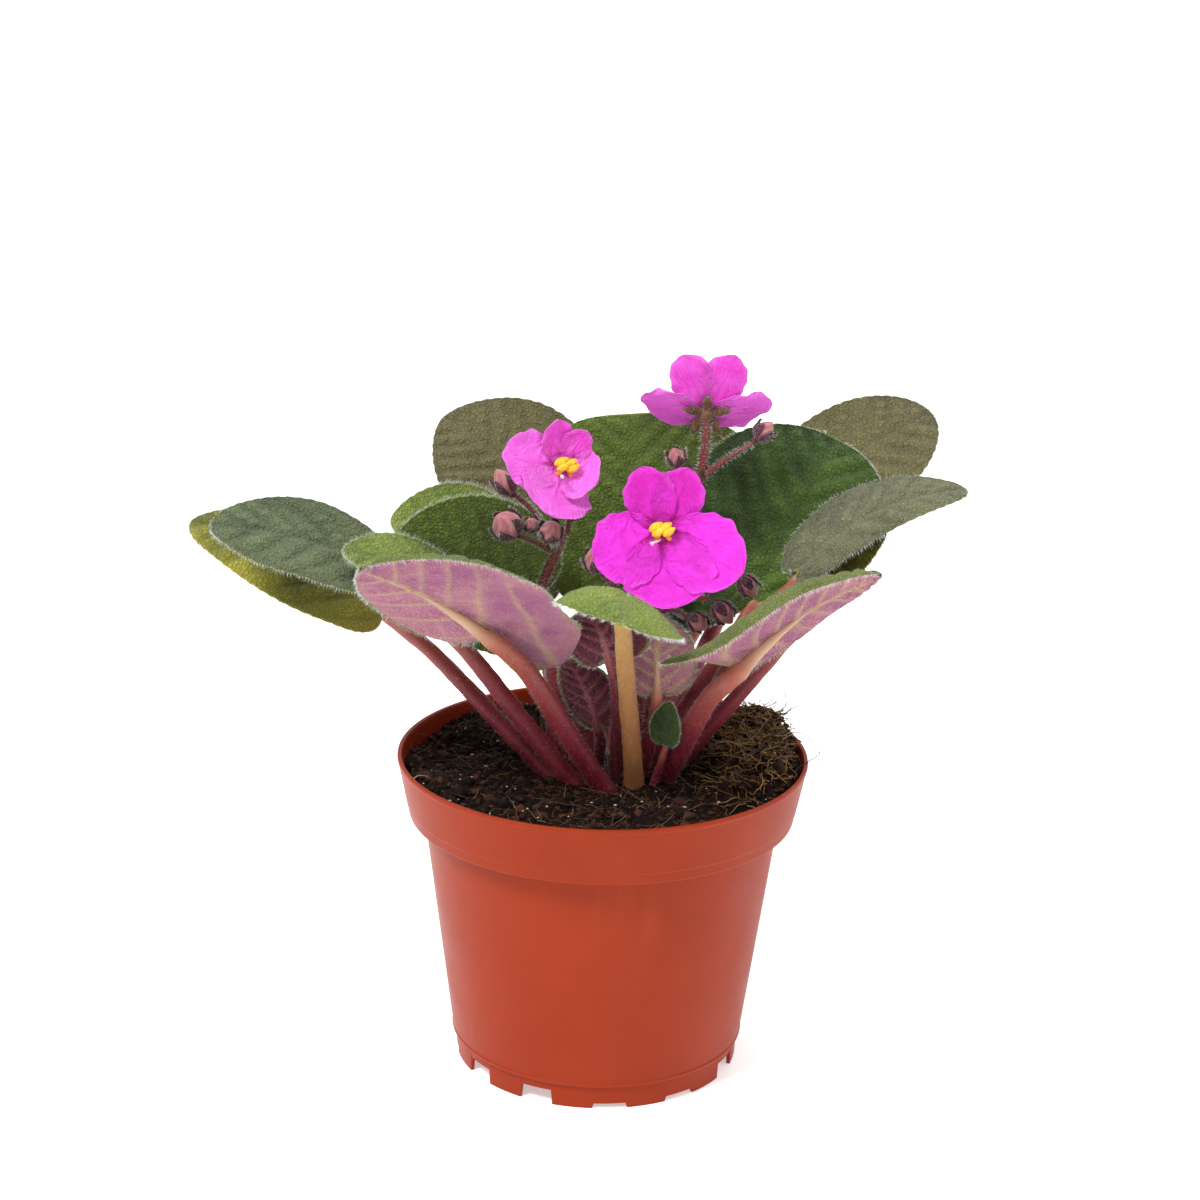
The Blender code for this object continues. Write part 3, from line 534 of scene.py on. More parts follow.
def soilHeight(x, y):
    # level peat with a low ripple, a shallow dish at the crown, and two mounds on the right
    fromCrown = np.hypot(x - soil["crown"][0], y - soil["crown"][1])
    dish = smoothStep(0, 1, (soil["pitEdge"] - fromCrown) / (soil["pitEdge"] - soil["pitRadius"]))
    ground = soil["level"] + 1.6 * np.exp(-((x + 4) / 30) ** 2 - ((y + 46) / 16) ** 2)
    ground = ground + 0.8 * np.sin(x * 0.21 + 1.0) * np.sin(y * 0.19)
    mound = sum(high * np.exp(-((x - atX) / wide) ** 2 - ((y - atY) / deep) ** 2)
                for high, atX, atY, wide, deep in soil["mounds"])
    return ground + (soil["pitLevel"] - ground) * dish + mound * (1 - dish)


def soilTop(x, y):
    # the plain height and three sizes of lumps; the middle one is squared so that it makes rounded crumbs
    flat = np.stack([x, y, np.zeros_like(x)], -1)
    big = lumps(flat, 8.0, 11) * 1.4
    middle = np.abs(lumps(flat, 3.2, 12)) ** 0.7 * 1.5 - 0.8
    small = np.abs(lumps(flat, 1.3, 13)) * 0.9
    return soilHeight(x, y) + big + middle + small


def wallInside(z):
    # the pot's inner radius at a height, read off its own outline
    inside = outline[:np.argmax(outline[:, 1])]
    return np.interp(z, inside[:, 1], inside[:, 0])


def buildSoil():
    around = soil["around"]
    turn = np.arange(around) * 2 * np.pi / around
    edge = wallInside(soil["level"]) - 0.15
    share = np.linspace(0.004, 1, 150) ** 0.8
    x = share[:, None] * edge * np.cos(turn)
    y = share[:, None] * edge * np.sin(turn)
    z = soilTop(x, y)
    near = smoothStep(0.93, 1.0, share)[:, None]
    z = z - near * (np.maximum(z - 92.5, 0) + 0.6)
    rings = [np.stack([x, y, z], -1)]
    for low in (80.0, 77.6, 76.6, 74.0, 40.0, 7.6, soil["floor"]):
        r = wallInside(max(low, 7.6)) - (0.15 if low > 7 else 1.6)
        rings.append(np.stack([r * np.cos(turn), r * np.sin(turn), np.full(around, low)], -1)[None])
    rings = np.concatenate(rings)
    shade = 0.25 + 0.35 * lumps(rings, 4.0, 31) + 0.25 * lumps(rings, 0.9, 32)
    peat = shadedFinish("peat", soil["dark"], soil["pale"], (0.75, 0.98), 700.0, 0.0007,
                        Specular_IOR_Level=0.12)
    bed = ringShell(rings, 0, None, np.array([0, 0, soil["floor"]]), shade=shade)
    putMesh("soilBed", [bed], [peat], ("soil",))


def scattered(count, rng, reach=0.985):
    # places on the soil, thicker towards the wall, as (x, y, height)
    r = np.sqrt(rng.uniform(0.02, reach ** 2, count)) * (wallInside(soil["level"]) - 0.6)
    a = rng.uniform(0, 2 * np.pi, count)
    x, y = r * np.cos(a), r * np.sin(a)
    return np.stack([x, y, soilTop(x, y)], -1)


def chunks(places, sizes, rng, finish=0, flat=0.75):
    # each crumb is a twenty-faced ball, every corner pushed in or out by up to a third
    g = (1 + 5 ** 0.5) / 2
    ball = np.array([(-1, g, 0), (1, g, 0), (-1, -g, 0), (1, -g, 0), (0, -1, g), (0, 1, g),
                     (0, -1, -g), (0, 1, -g), (g, 0, -1), (g, 0, 1), (-g, 0, -1),
                     (-g, 0, 1)]) / np.hypot(1, g)
    faces = np.array([(0, 11, 5), (0, 5, 1), (0, 1, 7), (0, 7, 10), (0, 10, 11), (1, 5, 9), (5, 11, 4),
                      (11, 10, 2), (10, 7, 6), (7, 1, 8), (3, 9, 4), (3, 4, 2), (3, 2, 6), (3, 6, 8),
                      (3, 8, 9), (4, 9, 5), (2, 4, 11), (6, 2, 10), (8, 6, 7), (9, 8, 1)])
    n = len(places)
    shape = ball[None] * rng.uniform(0.68, 1.3, (n, 12, 1)) * rng.uniform(0.6, 1.4, (n, 1, 3))
    shape[..., 2] *= flat
    points = places[:, None] + shape * sizes[:, None, None]
    tris = (np.arange(n)[:, None, None] * 12 + faces[None]).reshape(-1, 3)
    shade = np.repeat(rng.uniform(0, 1, n) ** 1.8, 12) + rng.uniform(-0.15, 0.15, n * 12)
    return facing(shell(points.reshape(-1, 3), None, tris, finish, shade=shade))


def wander(start, way, length, count, bend, rng):
    # a path of even steps whose direction drifts by a smooth random turn
    turns = np.cumsum(rng.normal(0, bend, (count, 3)), 0)
    ways = unit(np.array(way)[None] + turns * np.array([1, 1, 0.6]))
    return np.array(start) + np.cumsum(ways * length / count, 0)


def onSoil(path, above):
    # a path laid over the bumps, a little above them, or left where it is if that is higher
    path = path.copy()
    path[:, 2] = np.maximum(path[:, 2], soilTop(path[:, 0], path[:, 1]) + above)
    return path


def buildLitter():
    rng = np.random.default_rng(21)
    peat = shadedFinish("crumb", soil["dark"], (0.075, 0.030, 0.017, 1), (0.7, 0.98), 900.0, 0.0004,
                        Specular_IOR_Level=0.15)
    places = scattered(soil["crumbs"], rng)
    mound = rng.uniform(0, 1, len(places)) < 0.3
    places[mound, 0] = rng.normal(43, 8, mound.sum())
    places[mound, 1] = rng.normal(8, 17, mound.sum())
    keep = np.hypot(places[:, 0], places[:, 1]) < 57.0
    places = places[keep]
    places[:, 2] = soilTop(places[:, 0], places[:, 1]) + 0.1
    small = chunks(places, rng.uniform(0.25, 0.95, len(places)), rng)
    places = scattered(soil["bigCrumbs"], rng, 0.95)
    big = chunks(places, rng.uniform(0.9, 2.6, len(places)), rng)
    putMesh("soilCrumbs", [small, big], [peat])
    coir = shadedFinish("coir", (0.045, 0.018, 0.008, 1), (0.46, 0.27, 0.085, 1), (0.5, 0.8), 500.0,
                        0.0002, Specular_IOR_Level=0.35)
    parts = []
    starts = scattered(soil["fibres"], rng, 0.97)
    onMound = np.arange(len(starts)) % 9 < 6
    starts[onMound, 0] = rng.normal(43, 8, onMound.sum())
    starts[onMound, 1] = rng.normal(4, 16, onMound.sum())
    for start in starts[np.hypot(starts[:, 0], starts[:, 1]) < 56]:
        start[2] = soilTop(start[0], start[1])
        a = rng.uniform(0, 2 * np.pi)
        path = wander(start, (np.cos(a), np.sin(a), rng.uniform(0, 0.35)), rng.uniform(3, 11), 9, 0.24, rng)
        out = np.hypot(path[:, 0], path[:, 1])
        path[:, :2] *= np.minimum(1, 57.2 / np.maximum(out, 1))[:, None]
        path = onSoil(path, 0.25)
        golden = 0.25 + 0.75 * smoothStep(28, 42, start[0])
        parts.append(tube(path, rng.uniform(0.06, 0.20) * np.linspace(1, 0.5, 9), 4, 0,
                          shade=golden * rng.uniform(0, 1) ** 0.9))
    flecks = scattered(soil["flecks"], rng, 0.97) + np.array([0, 0, 0.5])
    fleck = chunks(flecks, rng.uniform(0.25, 0.6, len(flecks)), rng, 1, 0.4)
    wood = plainFinish("paleFleck", (0.34, 0.24, 0.13, 1), (0.62, 0.52, 0.36, 1), (0.6, 0.9))
    putMesh("soilFibres", parts + [fleck], [coir, wood])


def buildRoots():
    # dark wiry roots that loop over the lip on the right, one thin pale one, and a few at the left
    rng = np.random.default_rng(8)
    parts = []
    for k in range(soil["roots"]):
        right = k < soil["rightRoots"]
        if right:
            start = np.array((rng.normal(50, 3), rng.normal(2, 9), 0))
        else:
            start = np.array((rng.normal(-46, 5), rng.normal(-12, 14), 0))
        start[2] = soilTop(start[0], start[1]) + 0.4
        way = (rng.uniform(0.1, 1.0), rng.normal(0, 0.7),
               rng.uniform(0.0, 0.9)) if right else rng.normal(0, 1, 3)
        span = rng.uniform(10, 24) if right else rng.uniform(6, 12)
        path = wander(start, way, span, 26, 0.30, rng)
        path[:, 0] = np.minimum(path[:, 0], 60 + 5.5 * np.tanh((path[:, 0] - 60) / 6).clip(0))
        if not right:
            path[:, :2] *= np.minimum(1, 56.5 / np.maximum(np.hypot(path[:, 0], path[:, 1]), 1))[:, None]
        path = onSoil(path, 0.3)
        thick = rng.uniform(0.10, 0.26) * np.linspace(1, 0.45, 26)
        parts.append(tube(path, thick, 6, 0, lump=0.3, seed=40 + k, shade=rng.uniform(0, 0.6)))
    pale = throughPoints(((49, 6, 97), (54, 2, 100.5), (58, -1, 101.5), (62, -3, 98.5), (64.5, -4, 93)), 30)
    parts.append(tube(pale, 0.13, 6, 1))
    pale = throughPoints(((-50, -14, 90.5), (-53, -19, 92.5), (-54.5, -23, 91.5), (-52, -27, 90.6)), 24)
    parts.append(tube(onSoil(pale, 0.3), 0.12, 6, 1))
    bark = shadedFinish("rootBark", (0.012, 0.007, 0.005, 1), (0.11, 0.05, 0.028, 1), (0.5, 0.8), 600.0,
                        0.0002)
    whitish = plainFinish("paleRoot", (0.55, 0.42, 0.26, 1), (0.75, 0.66, 0.50, 1), (0.5, 0.8))
    putMesh("soilRoots", parts, [bark, whitish])


buildSoil()
buildLitter()
buildRoots()
print("soil built")


# leaves: where each stalk starts, where the blade starts and ends, which way it faces, its shape

# "sun" sets each blade's painted light: how much lighter it is painted towards its tip and towards one side
leaves = {
    "leaf_left_low": dict(
        foot=(-14.5, -6, 88), radius=2.5, knee=(-65, 8, 135), tip=(-121, 10, 158), face=(0.4, -0.3, 0.87),
        width=46, arch=6, cup=(-8, -8), lobe=(0.4, 0.4), round=0.55, sun=(0.1, -0.6), tone="olive"),
    "leaf_left_high": dict(
        foot=(-8.6, -10.2, 88), radius=2.6, knee=(-54, -10, 143), tip=(-110, -24, 167),
        face=(0.4, -0.22, 0.88), width=40, arch=6, cup=(4, 4), lobe=(0.5, 0.5), belly=1.1, round=0.55,
        tone="silver"),
    "leaf_left_tucked": dict(
        foot=(-3.2, -6.2, 88), radius=2.4, knee=(-38, -15.8, 143.8), tip=(-73, -28.8, 162.2),
        face=(0.35, -0.3, 0.9), width=30, arch=3, cup=(5, 5), lobe=(0.5, 0.5), tone="fresh"),
    "leaf_midleft_rear": dict(
        foot=(-9.5, 7, 88), radius=2.4, knee=(-28.5, 17, 147), tip=(-63, 12, 160),
        face=(0.25, -0.55, 0.8), width=38, arch=3, cup=(8, 8), lobe=(0.6, 0.6), tone="fresh"),
    "leaf_midleft_front": dict(
        foot=(-13, 0.5, 88), radius=2.4, knee=(-22, 4, 139), tip=(-59, -4, 161), face=(0.35, -0.8, 0.5),
        width=44, arch=3, cup=(12, 12), lobe=(0.8, 0.8), tone="mid"),
    "leaf_front_left": dict(
        foot=(0.3, -13.2, 88), radius=2.8, knee=(-33, -33, 142), tip=(-66, -56, 166),
        face=(0.15, 0.85, 0.42), width=50, arch=2, cup=(8, 8), halves=(29, 16), lobe=(0.9, 0.6),
        roll=(-70, -20), tail=((12, 9, -3), (0, 0, 0)), sag=((8, 13, -15), (0, 0, 0)), veins=5, rib=0.72,
        tone="pinkBack"),
    "leaf_back_left": dict(
        foot=(-4, 15, 88), radius=2.5, knee=(-16, 42, 158), tip=(-51, 60, 178.5), face=(0.15, -0.75, 0.6),
        width=46, arch=2, cup=(10, 10), lobe=(0.5, 0.5), tone="dusk"),
    "leaf_back_middle": dict(
        foot=(4.5, 10, 88), radius=2.7, knee=(10, 22, 137.5), tip=(6, 44, 184.5), face=(0, -0.8, 0.55),
        width=68, halves=(30, 38), arch=4, cup=(12, 12), lobe=(0.6, 0.6), round=0.3, belly=1.05,
        quilt=1.9, sun=(0.45, -0.55), tone="mid"),
    "leaf_right_upright": dict(
        foot=(13, 4.5, 88), radius=2.5, knee=(43, 9, 139.5), tip=(66, 31, 182), face=(-0.15, -0.88, 0.45),
        width=56, halves=(32, 27), arch=3, cup=(14, 12), lobe=(1.1, -0.1), round=0.44, belly=1.0,
        quilt=2.6, sun=(-0.2, 0.3), tail=((-6, 0, -6), (0, 0, 0)), tone="deep"),
    "leaf_back_right": dict(
        foot=(14, 13.5, 88), radius=2.3, knee=(57, 44, 159.5), tip=(97.5, 63, 183),
        face=(-0.2, -0.75, 0.65), width=38, arch=3, cup=(8, 8), lobe=(0.5, 0.5), round=0.5, tone="dusk"),
    "leaf_rear_left": dict(
        foot=(-10.5, 13, 88), radius=2.4, knee=(-24, 43, 126), tip=(-53, 74, 139), face=(0.3, -0.3, 0.9),
        width=38, arch=5, cup=(6, 6), lobe=(0.5, 0.5), round=0.55, tone="mid"),
    "leaf_rear_middle": dict(
        foot=(2, 17.5, 88), radius=2.5, knee=(7, 47, 125), tip=(5, 90, 140), face=(0, -0.3, 0.95),
        width=46, arch=6, cup=(4, 4), lobe=(0.5, 0.5), round=0.55, tone="deep"),
    "leaf_rear_right": dict(
        foot=(9, 18.5, 88), radius=2.4, knee=(30, 47, 124), tip=(54, 84, 139), face=(-0.25, -0.3, 0.92),
        width=38, arch=5, cup=(5, 5), lobe=(0.5, 0.5), round=0.55, tone="olive"),
    "leaf_right_high": dict(
        foot=(19.2, 7.2, 88), radius=2.5, knee=(54, -8, 153), tip=(101, -4, 177), face=(-0.3, -0.3, 0.92),
        width=33, halves=(17, 11), arch=7, cup=(-8, -8), lobe=(0.9, 0.9), round=0.5, tone="warmSilver"),
    "leaf_right_low": dict(
        foot=(20, 0, 88), radius=2.2, knee=(63, -4, 148), tip=(79, 0, 164), face=(-0.2, -0.4, 0.9),
        width=15, arch=2, cup=(5, 5), lobe=(0.5, 0.5), tone="olive"),
    "leaf_front_right": dict(
        foot=(17.5, -6.5, 88), radius=2.9, knee=(37, -26, 132), tip=(76, -24, 158), face=(-0.4, 0.7, 0.6),
        width=44, arch=3, cup=(-30, 10), halves=(9, 24), lobe=(1.3, 0.9), roll=(0, -110),
        tail=((0, 0, 0), (-17, -3, 3)), rib=0.75, tone="pinkBack"),
    "leaf_front_middle": dict(
        foot=(9.3, -11, 88), radius=2.6, knee=(5, -42, 156), tip=(4, -68, 156), face=(0.42, -0.12, 1),
        width=36, halves=(19, 21), arch=3, cup=(-28, -55), lobe=(0.5, 0.5), tone="fresh",
        stem="oliveStem"),
    "leaf_inner_purple": dict(
        foot=(-1.5, 0, 88), radius=1.6, knee=(-1, -5, 104), tip=(-11, -8, 126), face=(0.3, 0.8, 0.4),
        width=19, arch=2, cup=(15, 15), lobe=(0.4, 0.4), tone="wine", fringe=0.4, stem="wineStem"),
    "leaf_inner_left": dict(
        foot=(4.6, -7.5, 88), radius=2.2, knee=(2, -18, 130), tip=(-6, -20, 144), face=(0.2, 0.8, 0.5),
        width=28, arch=2, cup=(10, 10), lobe=(0.5, 0.5), tone="wine", fringe=0.4, stem="wineStem"),
    "leaf_inner_right": dict(
        foot=(11, -4.5, 88), radius=2.0, knee=(15, -14, 118), tip=(14, -17, 142), face=(0, 0.85, 0.5),
        width=22, arch=2, cup=(15, 15), lobe=(0.4, 0.4), tone="pinkBack"),
    "leaf_young_rear": dict(
        foot=(8.5, 3, 88), radius=1.2, knee=(19, 2, 113), tip=(19, 0, 125), face=(-0.2, -0.8, 0.4),
        width=10, arch=1, cup=(15, 15), lobe=(0.4, 0.4), tone="deep"),
    "leaf_young_front": dict(
        foot=(14.5, -12.5, 88), radius=1.0, knee=(17.5, -17, 103), tip=(18.5, -19, 117),
        face=(-0.3, -0.9, 0.3), width=9, arch=1, cup=(15, 15), lobe=(0.4, 0.4), tone="deep"),
}

blade = dict(rows=116, columns=53, thick=1.15, edge=0.4, teeth=0.42, pitch=3.1, quilt=1.5,
             edgeHairs=1700, topHairs=800, backHairs=300, stemHairs=1600, thin=0.024)


def greens(base, bright, silver, under=(0.50, 0.20, 0.28), underVein=(0.55, 0.40, 0.20), glow=0.5,
           sheen=0.10,
           underPale=(0.56, 0.35, 0.29)):
    # a leaf's set of colours, darker and lighter shares of its own green, and those of its underside; glow is
    # the share of bright green that the painted light and random patches add
    base, bright, under = np.array(base) * 1.2, np.array(bright) * 1.15, np.array(under)

    def full(colour):
        return tuple(float(c) for c in np.clip(colour, 0, 1)) + (1.0,)
    return dict(dark=full(base * 0.36), light=full(base * 1.6), bright=full(bright),
                netTop=full(base * 0.4),
                veinTop=full(base * 1.2 + 0.07 * silver), silverColour=full(base * 0.8 + 0.10),
                silver=silver,
                veinShow=0.5, glow=glow, sheen=sheen, sheenTint=(0.9, 1.0, 0.86, 1),
                underDark=full(under * (0.70, 0.52, 0.84)), underLight=full(under * (1.12, 1.3, 1.05)),
                underNet=full(under * 0.75),
                underVein=full(np.array(underVein)), underPale=full(np.array(underPale)))


greenBack = dict(under=(0.16, 0.17, 0.07), underVein=(0.30, 0.30, 0.13), underPale=(0.21, 0.22, 0.09))
tones = {
    "silver": greens((0.105, 0.135, 0.062), (0.19, 0.22, 0.075), 0.6, **greenBack),
    "warmSilver": greens((0.130, 0.135, 0.072), (0.23, 0.23, 0.095), 0.8, **greenBack),
    "olive": greens((0.14, 0.15, 0.022), (0.42, 0.38, 0.05), 0.3, glow=0.9, **greenBack),
    "fresh": greens((0.15, 0.21, 0.035), (0.42, 0.50, 0.10), 0.4, under=(0.42, 0.28, 0.16),
                    underPale=(0.45, 0.38, 0.20)),
    "mid": greens((0.062, 0.092, 0.014), (0.17, 0.25, 0.030), 0.3, under=(0.30, 0.19, 0.13),
                  underPale=(0.32, 0.26, 0.14)),
    "pinkBack": greens((0.115, 0.145, 0.035), (0.24, 0.28, 0.08), 0.4),
    "dusk": greens((0.120, 0.108, 0.050), (0.20, 0.18, 0.06), 0.5, **greenBack),
    "deep": greens((0.032, 0.062, 0.014), (0.13, 0.22, 0.03), 0.3, glow=0.8, **greenBack),
    "wine": greens((0.05, 0.075, 0.02), (0.20, 0.26, 0.06), 0.2, under=(0.10, 0.018, 0.034),
                   underVein=(0.24, 0.06, 0.07), underPale=(0.16, 0.04, 0.05)),
}
bladeFinishes = {key: bladeFinish("blade_" + key, look) for key, look in tones.items()}
stemFinishes = {
    "redStem": stemFinish("redStem", dict(foot=(0.19, 0.010, 0.026, 1), top=(0.50, 0.16, 0.085, 1),
                                          streak=(0.32, 0.035, 0.045, 1), speck=(0.46, 0.17, 0.12, 1),
                                          rib=(0.56, 0.36, 0.22, 1))),
    "oliveStem": stemFinish("oliveStem", dict(foot=(0.38, 0.15, 0.055, 1), top=(0.64, 0.54, 0.13, 1),
                                              streak=(0.50, 0.25, 0.07, 1), speck=(0.64, 0.48, 0.20, 1),
                                              rib=(0.46, 0.38, 0.12, 1))),
    "wineStem": stemFinish("wineStem", dict(foot=(0.11, 0.010, 0.018, 1), top=(0.20, 0.030, 0.036, 1),
                                            streak=(0.16, 0.020, 0.026, 1), speck=(0.25, 0.06, 0.06, 1),
                                            rib=(0.20, 0.045, 0.055, 1))),
}


def midribOf(leaf, u):
    # the line from knee to tip, bowed towards the upper side by arch times 4u(1 - u)
    knee, tip = np.array(leaf["knee"], float), np.array(leaf["tip"], float)
    ahead = unit(tip - knee)
    face = np.array(leaf["face"], float)
    face = unit(face - (face @ ahead) * ahead)
    return knee + (tip - knee) * u[:, None] + face * (leaf["arch"] * 4 * u * (1 - u))[:, None], face


def sideBend(cup, roll, v):
    # how far out and up a half blade reaches when its slope grows as cup * q + roll * q^4
    q = np.linspace(0, 1, 81)
    slope = np.radians(cup * q + roll * q ** 4)
    step = (slope[1:] + slope[:-1]) / 2
    out = np.concatenate([[0], np.cumsum(np.cos(step) * np.diff(q))])
    lift = np.concatenate([[0], np.cumsum(np.sin(step) * np.diff(q))])
    return np.interp(v, q, out), np.interp(v, q, lift)


def bladeOf(leaf, seed):
    # the blade as rings: its upper side one way across and its under side back again
    rows, columns = blade["rows"], blade["columns"]
    s = np.linspace(0, 1, rows)
    u = 0.2 * s + 0.8 * (1 - np.cos(np.pi * s)) / 2
    v = np.sin(1.25 * np.linspace(-1, 1, columns)) / np.sin(1.25)
    middle, face = midribOf(leaf, u)
    ahead = unit(np.gradient(middle, axis=0))
    upper = unit(face - (ahead @ face)[:, None] * ahead)
    right = np.cross(ahead, upper)
    outline = np.sin(np.pi * u ** leaf.get("belly", 0.8)) ** leaf.get("round", 0.62)
    outline[[0, -1]] = 0
    length = np.linalg.norm(np.array(leaf["tip"], float) - leaf["knee"])
    small = min(1.0, leaf["width"] / 30)
    halves = leaf.get("halves", (leaf["width"] / 2, leaf["width"] / 2))
    grid = np.zeros((rows, columns, 3))
    across = np.zeros((rows, columns))
    for side in (0, 1):
        sign = 2 * side - 1
        take = v < 0 if side == 0 else v >= 0
        reach = np.abs(v[take])
        out, lift = sideBend(leaf["cup"][side], leaf.get("roll", (0, 0))[side], reach)
        half = halves[side] * outline
        border = middle + right * (sign * half)[:, None]
        run = np.concatenate([[0], np.cumsum(np.linalg.norm(np.diff(border, axis=0), axis=1))])
        tooth = (np.abs(np.sin(np.pi * run / blade["pitch"] + seed)) - 0.6) * blade["teeth"] * small
        tooth = tooth * smoothStep(0, 3, half)
        sweep = leaf["lobe"][side] * half * (1 - u) ** 2.5
        grid[:, take] = (middle[:, None] + right[:, None] * (sign * half[:, None] * out)[..., None]
                         + right[:, None] * (sign * tooth[:, None] * reach ** 8)[..., None]
                         + upper[:, None] * (half[:, None] * lift)[..., None]
                         - ahead[:, None] * (sweep[:, None] * reach)[..., None])
        if "tail" in leaf:  # a basal lobe that hangs on past the stalk, pulled at its edge and at its middle
            near = np.exp(-(u / 0.15) ** 2)[:, None, None]
            grid[:, take] += near * (reach ** 1.3)[:, None] * np.array(leaf["tail"][side], float)
            sag = np.array(leaf.get("sag", ((0, 0, 0), (0, 0, 0)))[side], float)
            grid[:, take] += near * (4 * reach * (1 - reach))[:, None] * sag
        across[:, take] = sign * half[:, None] * reach
    normal = np.cross(np.gradient(grid, axis=1), np.gradient(grid, axis=0))
    normal[[0, -1]] = normal[[1, -2]]
    normal = unit(normal)
    normal *= np.sign((normal * upper[:, None]).sum(-1).mean())
    far = np.abs(v)[None] * np.ones((rows, 1))
    a, b = (u * length)[:, None], across
    # side veins leave the midrib forwards and bend towards the tip; each lies where the phase is whole
    pitch = max(4.0, length / leaf.get("veins", 7.0))
    phase = (a - 0.75 * np.abs(b) - 0.011 * b * b) / pitch + np.where(b < 0, 0.35, 0.0)
    phase = phase + 0.22 * lumps(grid, 15.0, seed + 30) * smoothStep(0, 8, np.abs(b))
    away = np.abs(phase - np.round(phase)) * pitch * 0.78
    fade = (1 - far ** 5) * smoothStep(0.0, 0.06, u)[:, None] * smoothStep(1.0, 0.93, u)[:, None]
    vein = np.exp(-(away / 0.72) ** 2) * fade
    rib = np.exp(-(b / (1.25 - 0.8 * u[:, None])) ** 2) * smoothStep(1.0, 0.9, u)[:, None]
    cross = (np.abs(b) * 1.0 + 0.35 * a) / (pitch * 0.46) + 0.3 * np.round(phase)
    cross = np.abs(cross - np.round(cross)) * pitch * 0.46
    pillow = (1 - np.exp(-(away / 1.5) ** 2)) * (1 - np.exp(-(b / 1.6) ** 2))
    pads = pillow * (0.55 + 0.45 * (1 - np.exp(-(cross / 1.0) ** 2)))
    relief = pads * (0.72 + 0.42 * lumps(grid, 4.0, seed)) * (1 - far ** 6) * fade ** 0.5
    quilt = leaf.get("quilt", blade["quilt"]) * small
    swell = lumps(grid, 16.0, seed + 50) * 1.5 * far ** 2 * small * outline[:, None]
    edge = (blade["thick"] - (blade["thick"] - blade["edge"]) * far ** 3)[..., None] * (0.5 + 0.5 * small)
    top = grid + normal * (quilt * relief + swell - 0.22 * vein - 0.2 * rib)[..., None]
    under = grid + normal * (0.8 * quilt * relief + swell)[..., None] - normal * edge
    under = under - normal * (0.38 * vein * small + 0.75 * rib * (1 - 0.7 * u[:, None]) * small)[..., None]
    border = np.minimum(np.abs(b).max(1, keepdims=True) * (1 - far), np.minimum(u, 1 - u)[:, None] * length)
    rim = np.clip(1 - border / 6, 0, 1)
    shade = np.maximum(0.7 * vein, rib)
    # painted light: glow is random lighter patches plus a slope towards the tip and one side, set by "sun",
    # that is painted lighter as if lit there
    sun = leaf.get("sun", (0, 0))
    glow = 0.4 + 0.75 * lumps(grid, 22.0, seed + 9) + 0.35 * lumps(grid, 8.0, seed + 19)
    glow = np.clip(glow + sun[0] * (2 * u[:, None] - 1) + sun[1] * v[None], 0, 1)
    rings = bothSides(top, under)
    # "pad" carries the quilting's relief height: the finish paints it as shade on the upper side and as paler
    # veins on the under side
    part = ringShell(rings, 0, vein=bothSides(shade), rim=bothSides(rim), glow=bothSides(glow),
                     pad=bothSides(relief).clip(0, 1), upper=bothSides(np.ones_like(rim),
                                                                       np.zeros_like(rim)))
    return part, top, under, normal


def leafStem(leaf):
    # a cubic curve from the soil to the blade, then a rib that sinks into the blade's under side
    foot, knee = np.array(leaf["foot"], float), np.array(leaf["knee"], float)
    u = np.linspace(0, 1, 13)
    u = 0.35 * u + 0.65 * (1 - np.cos(np.pi * u)) / 2
    first, face = midribOf(leaf, u)
    end = unit(first[1] - first[0])
    start = unit(knee - foot)
    reach = np.linalg.norm(knee - foot)
    p1, p2 = foot + start * reach * 0.35, knee - end * reach * 0.25
    t = np.linspace(0, 1, 46)[:, None]
    path = (1 - t) ** 3 * foot + 3 * (1 - t) ** 2 * t * p1 + 3 * (1 - t) * t * t * p2 + t ** 3 * knee
    thick = leaf["radius"]
    down = foot + (foot - path[1]) / np.linalg.norm(foot - path[1]) * np.linspace(7, 1, 4)[:, None]
    widths = thick * (1.08 - (0.9 - leaf.get("rib", 0.6)) * t[:, 0] ** 1.5 + 0.10 * np.exp(-t[:, 0] / 0.06))
    on = np.linspace(0.03, 0.62, 16)
    under, face = midribOf(leaf, on)
    taper = thick * leaf.get("rib", 0.6) * (1 - on / 0.66) ** 1.1
    under = under - face * (0.75 + 1.02 * taper)[:, None]
    sink = smoothStep(0.6, 1.0, t) * face * (0.75 + 1.02 * taper[0])
    whole = np.vstack([down, path[:-1] - sink[:-1], under])
    return whole, np.concatenate([np.full(4, widths[0]), widths[:-1], taper])


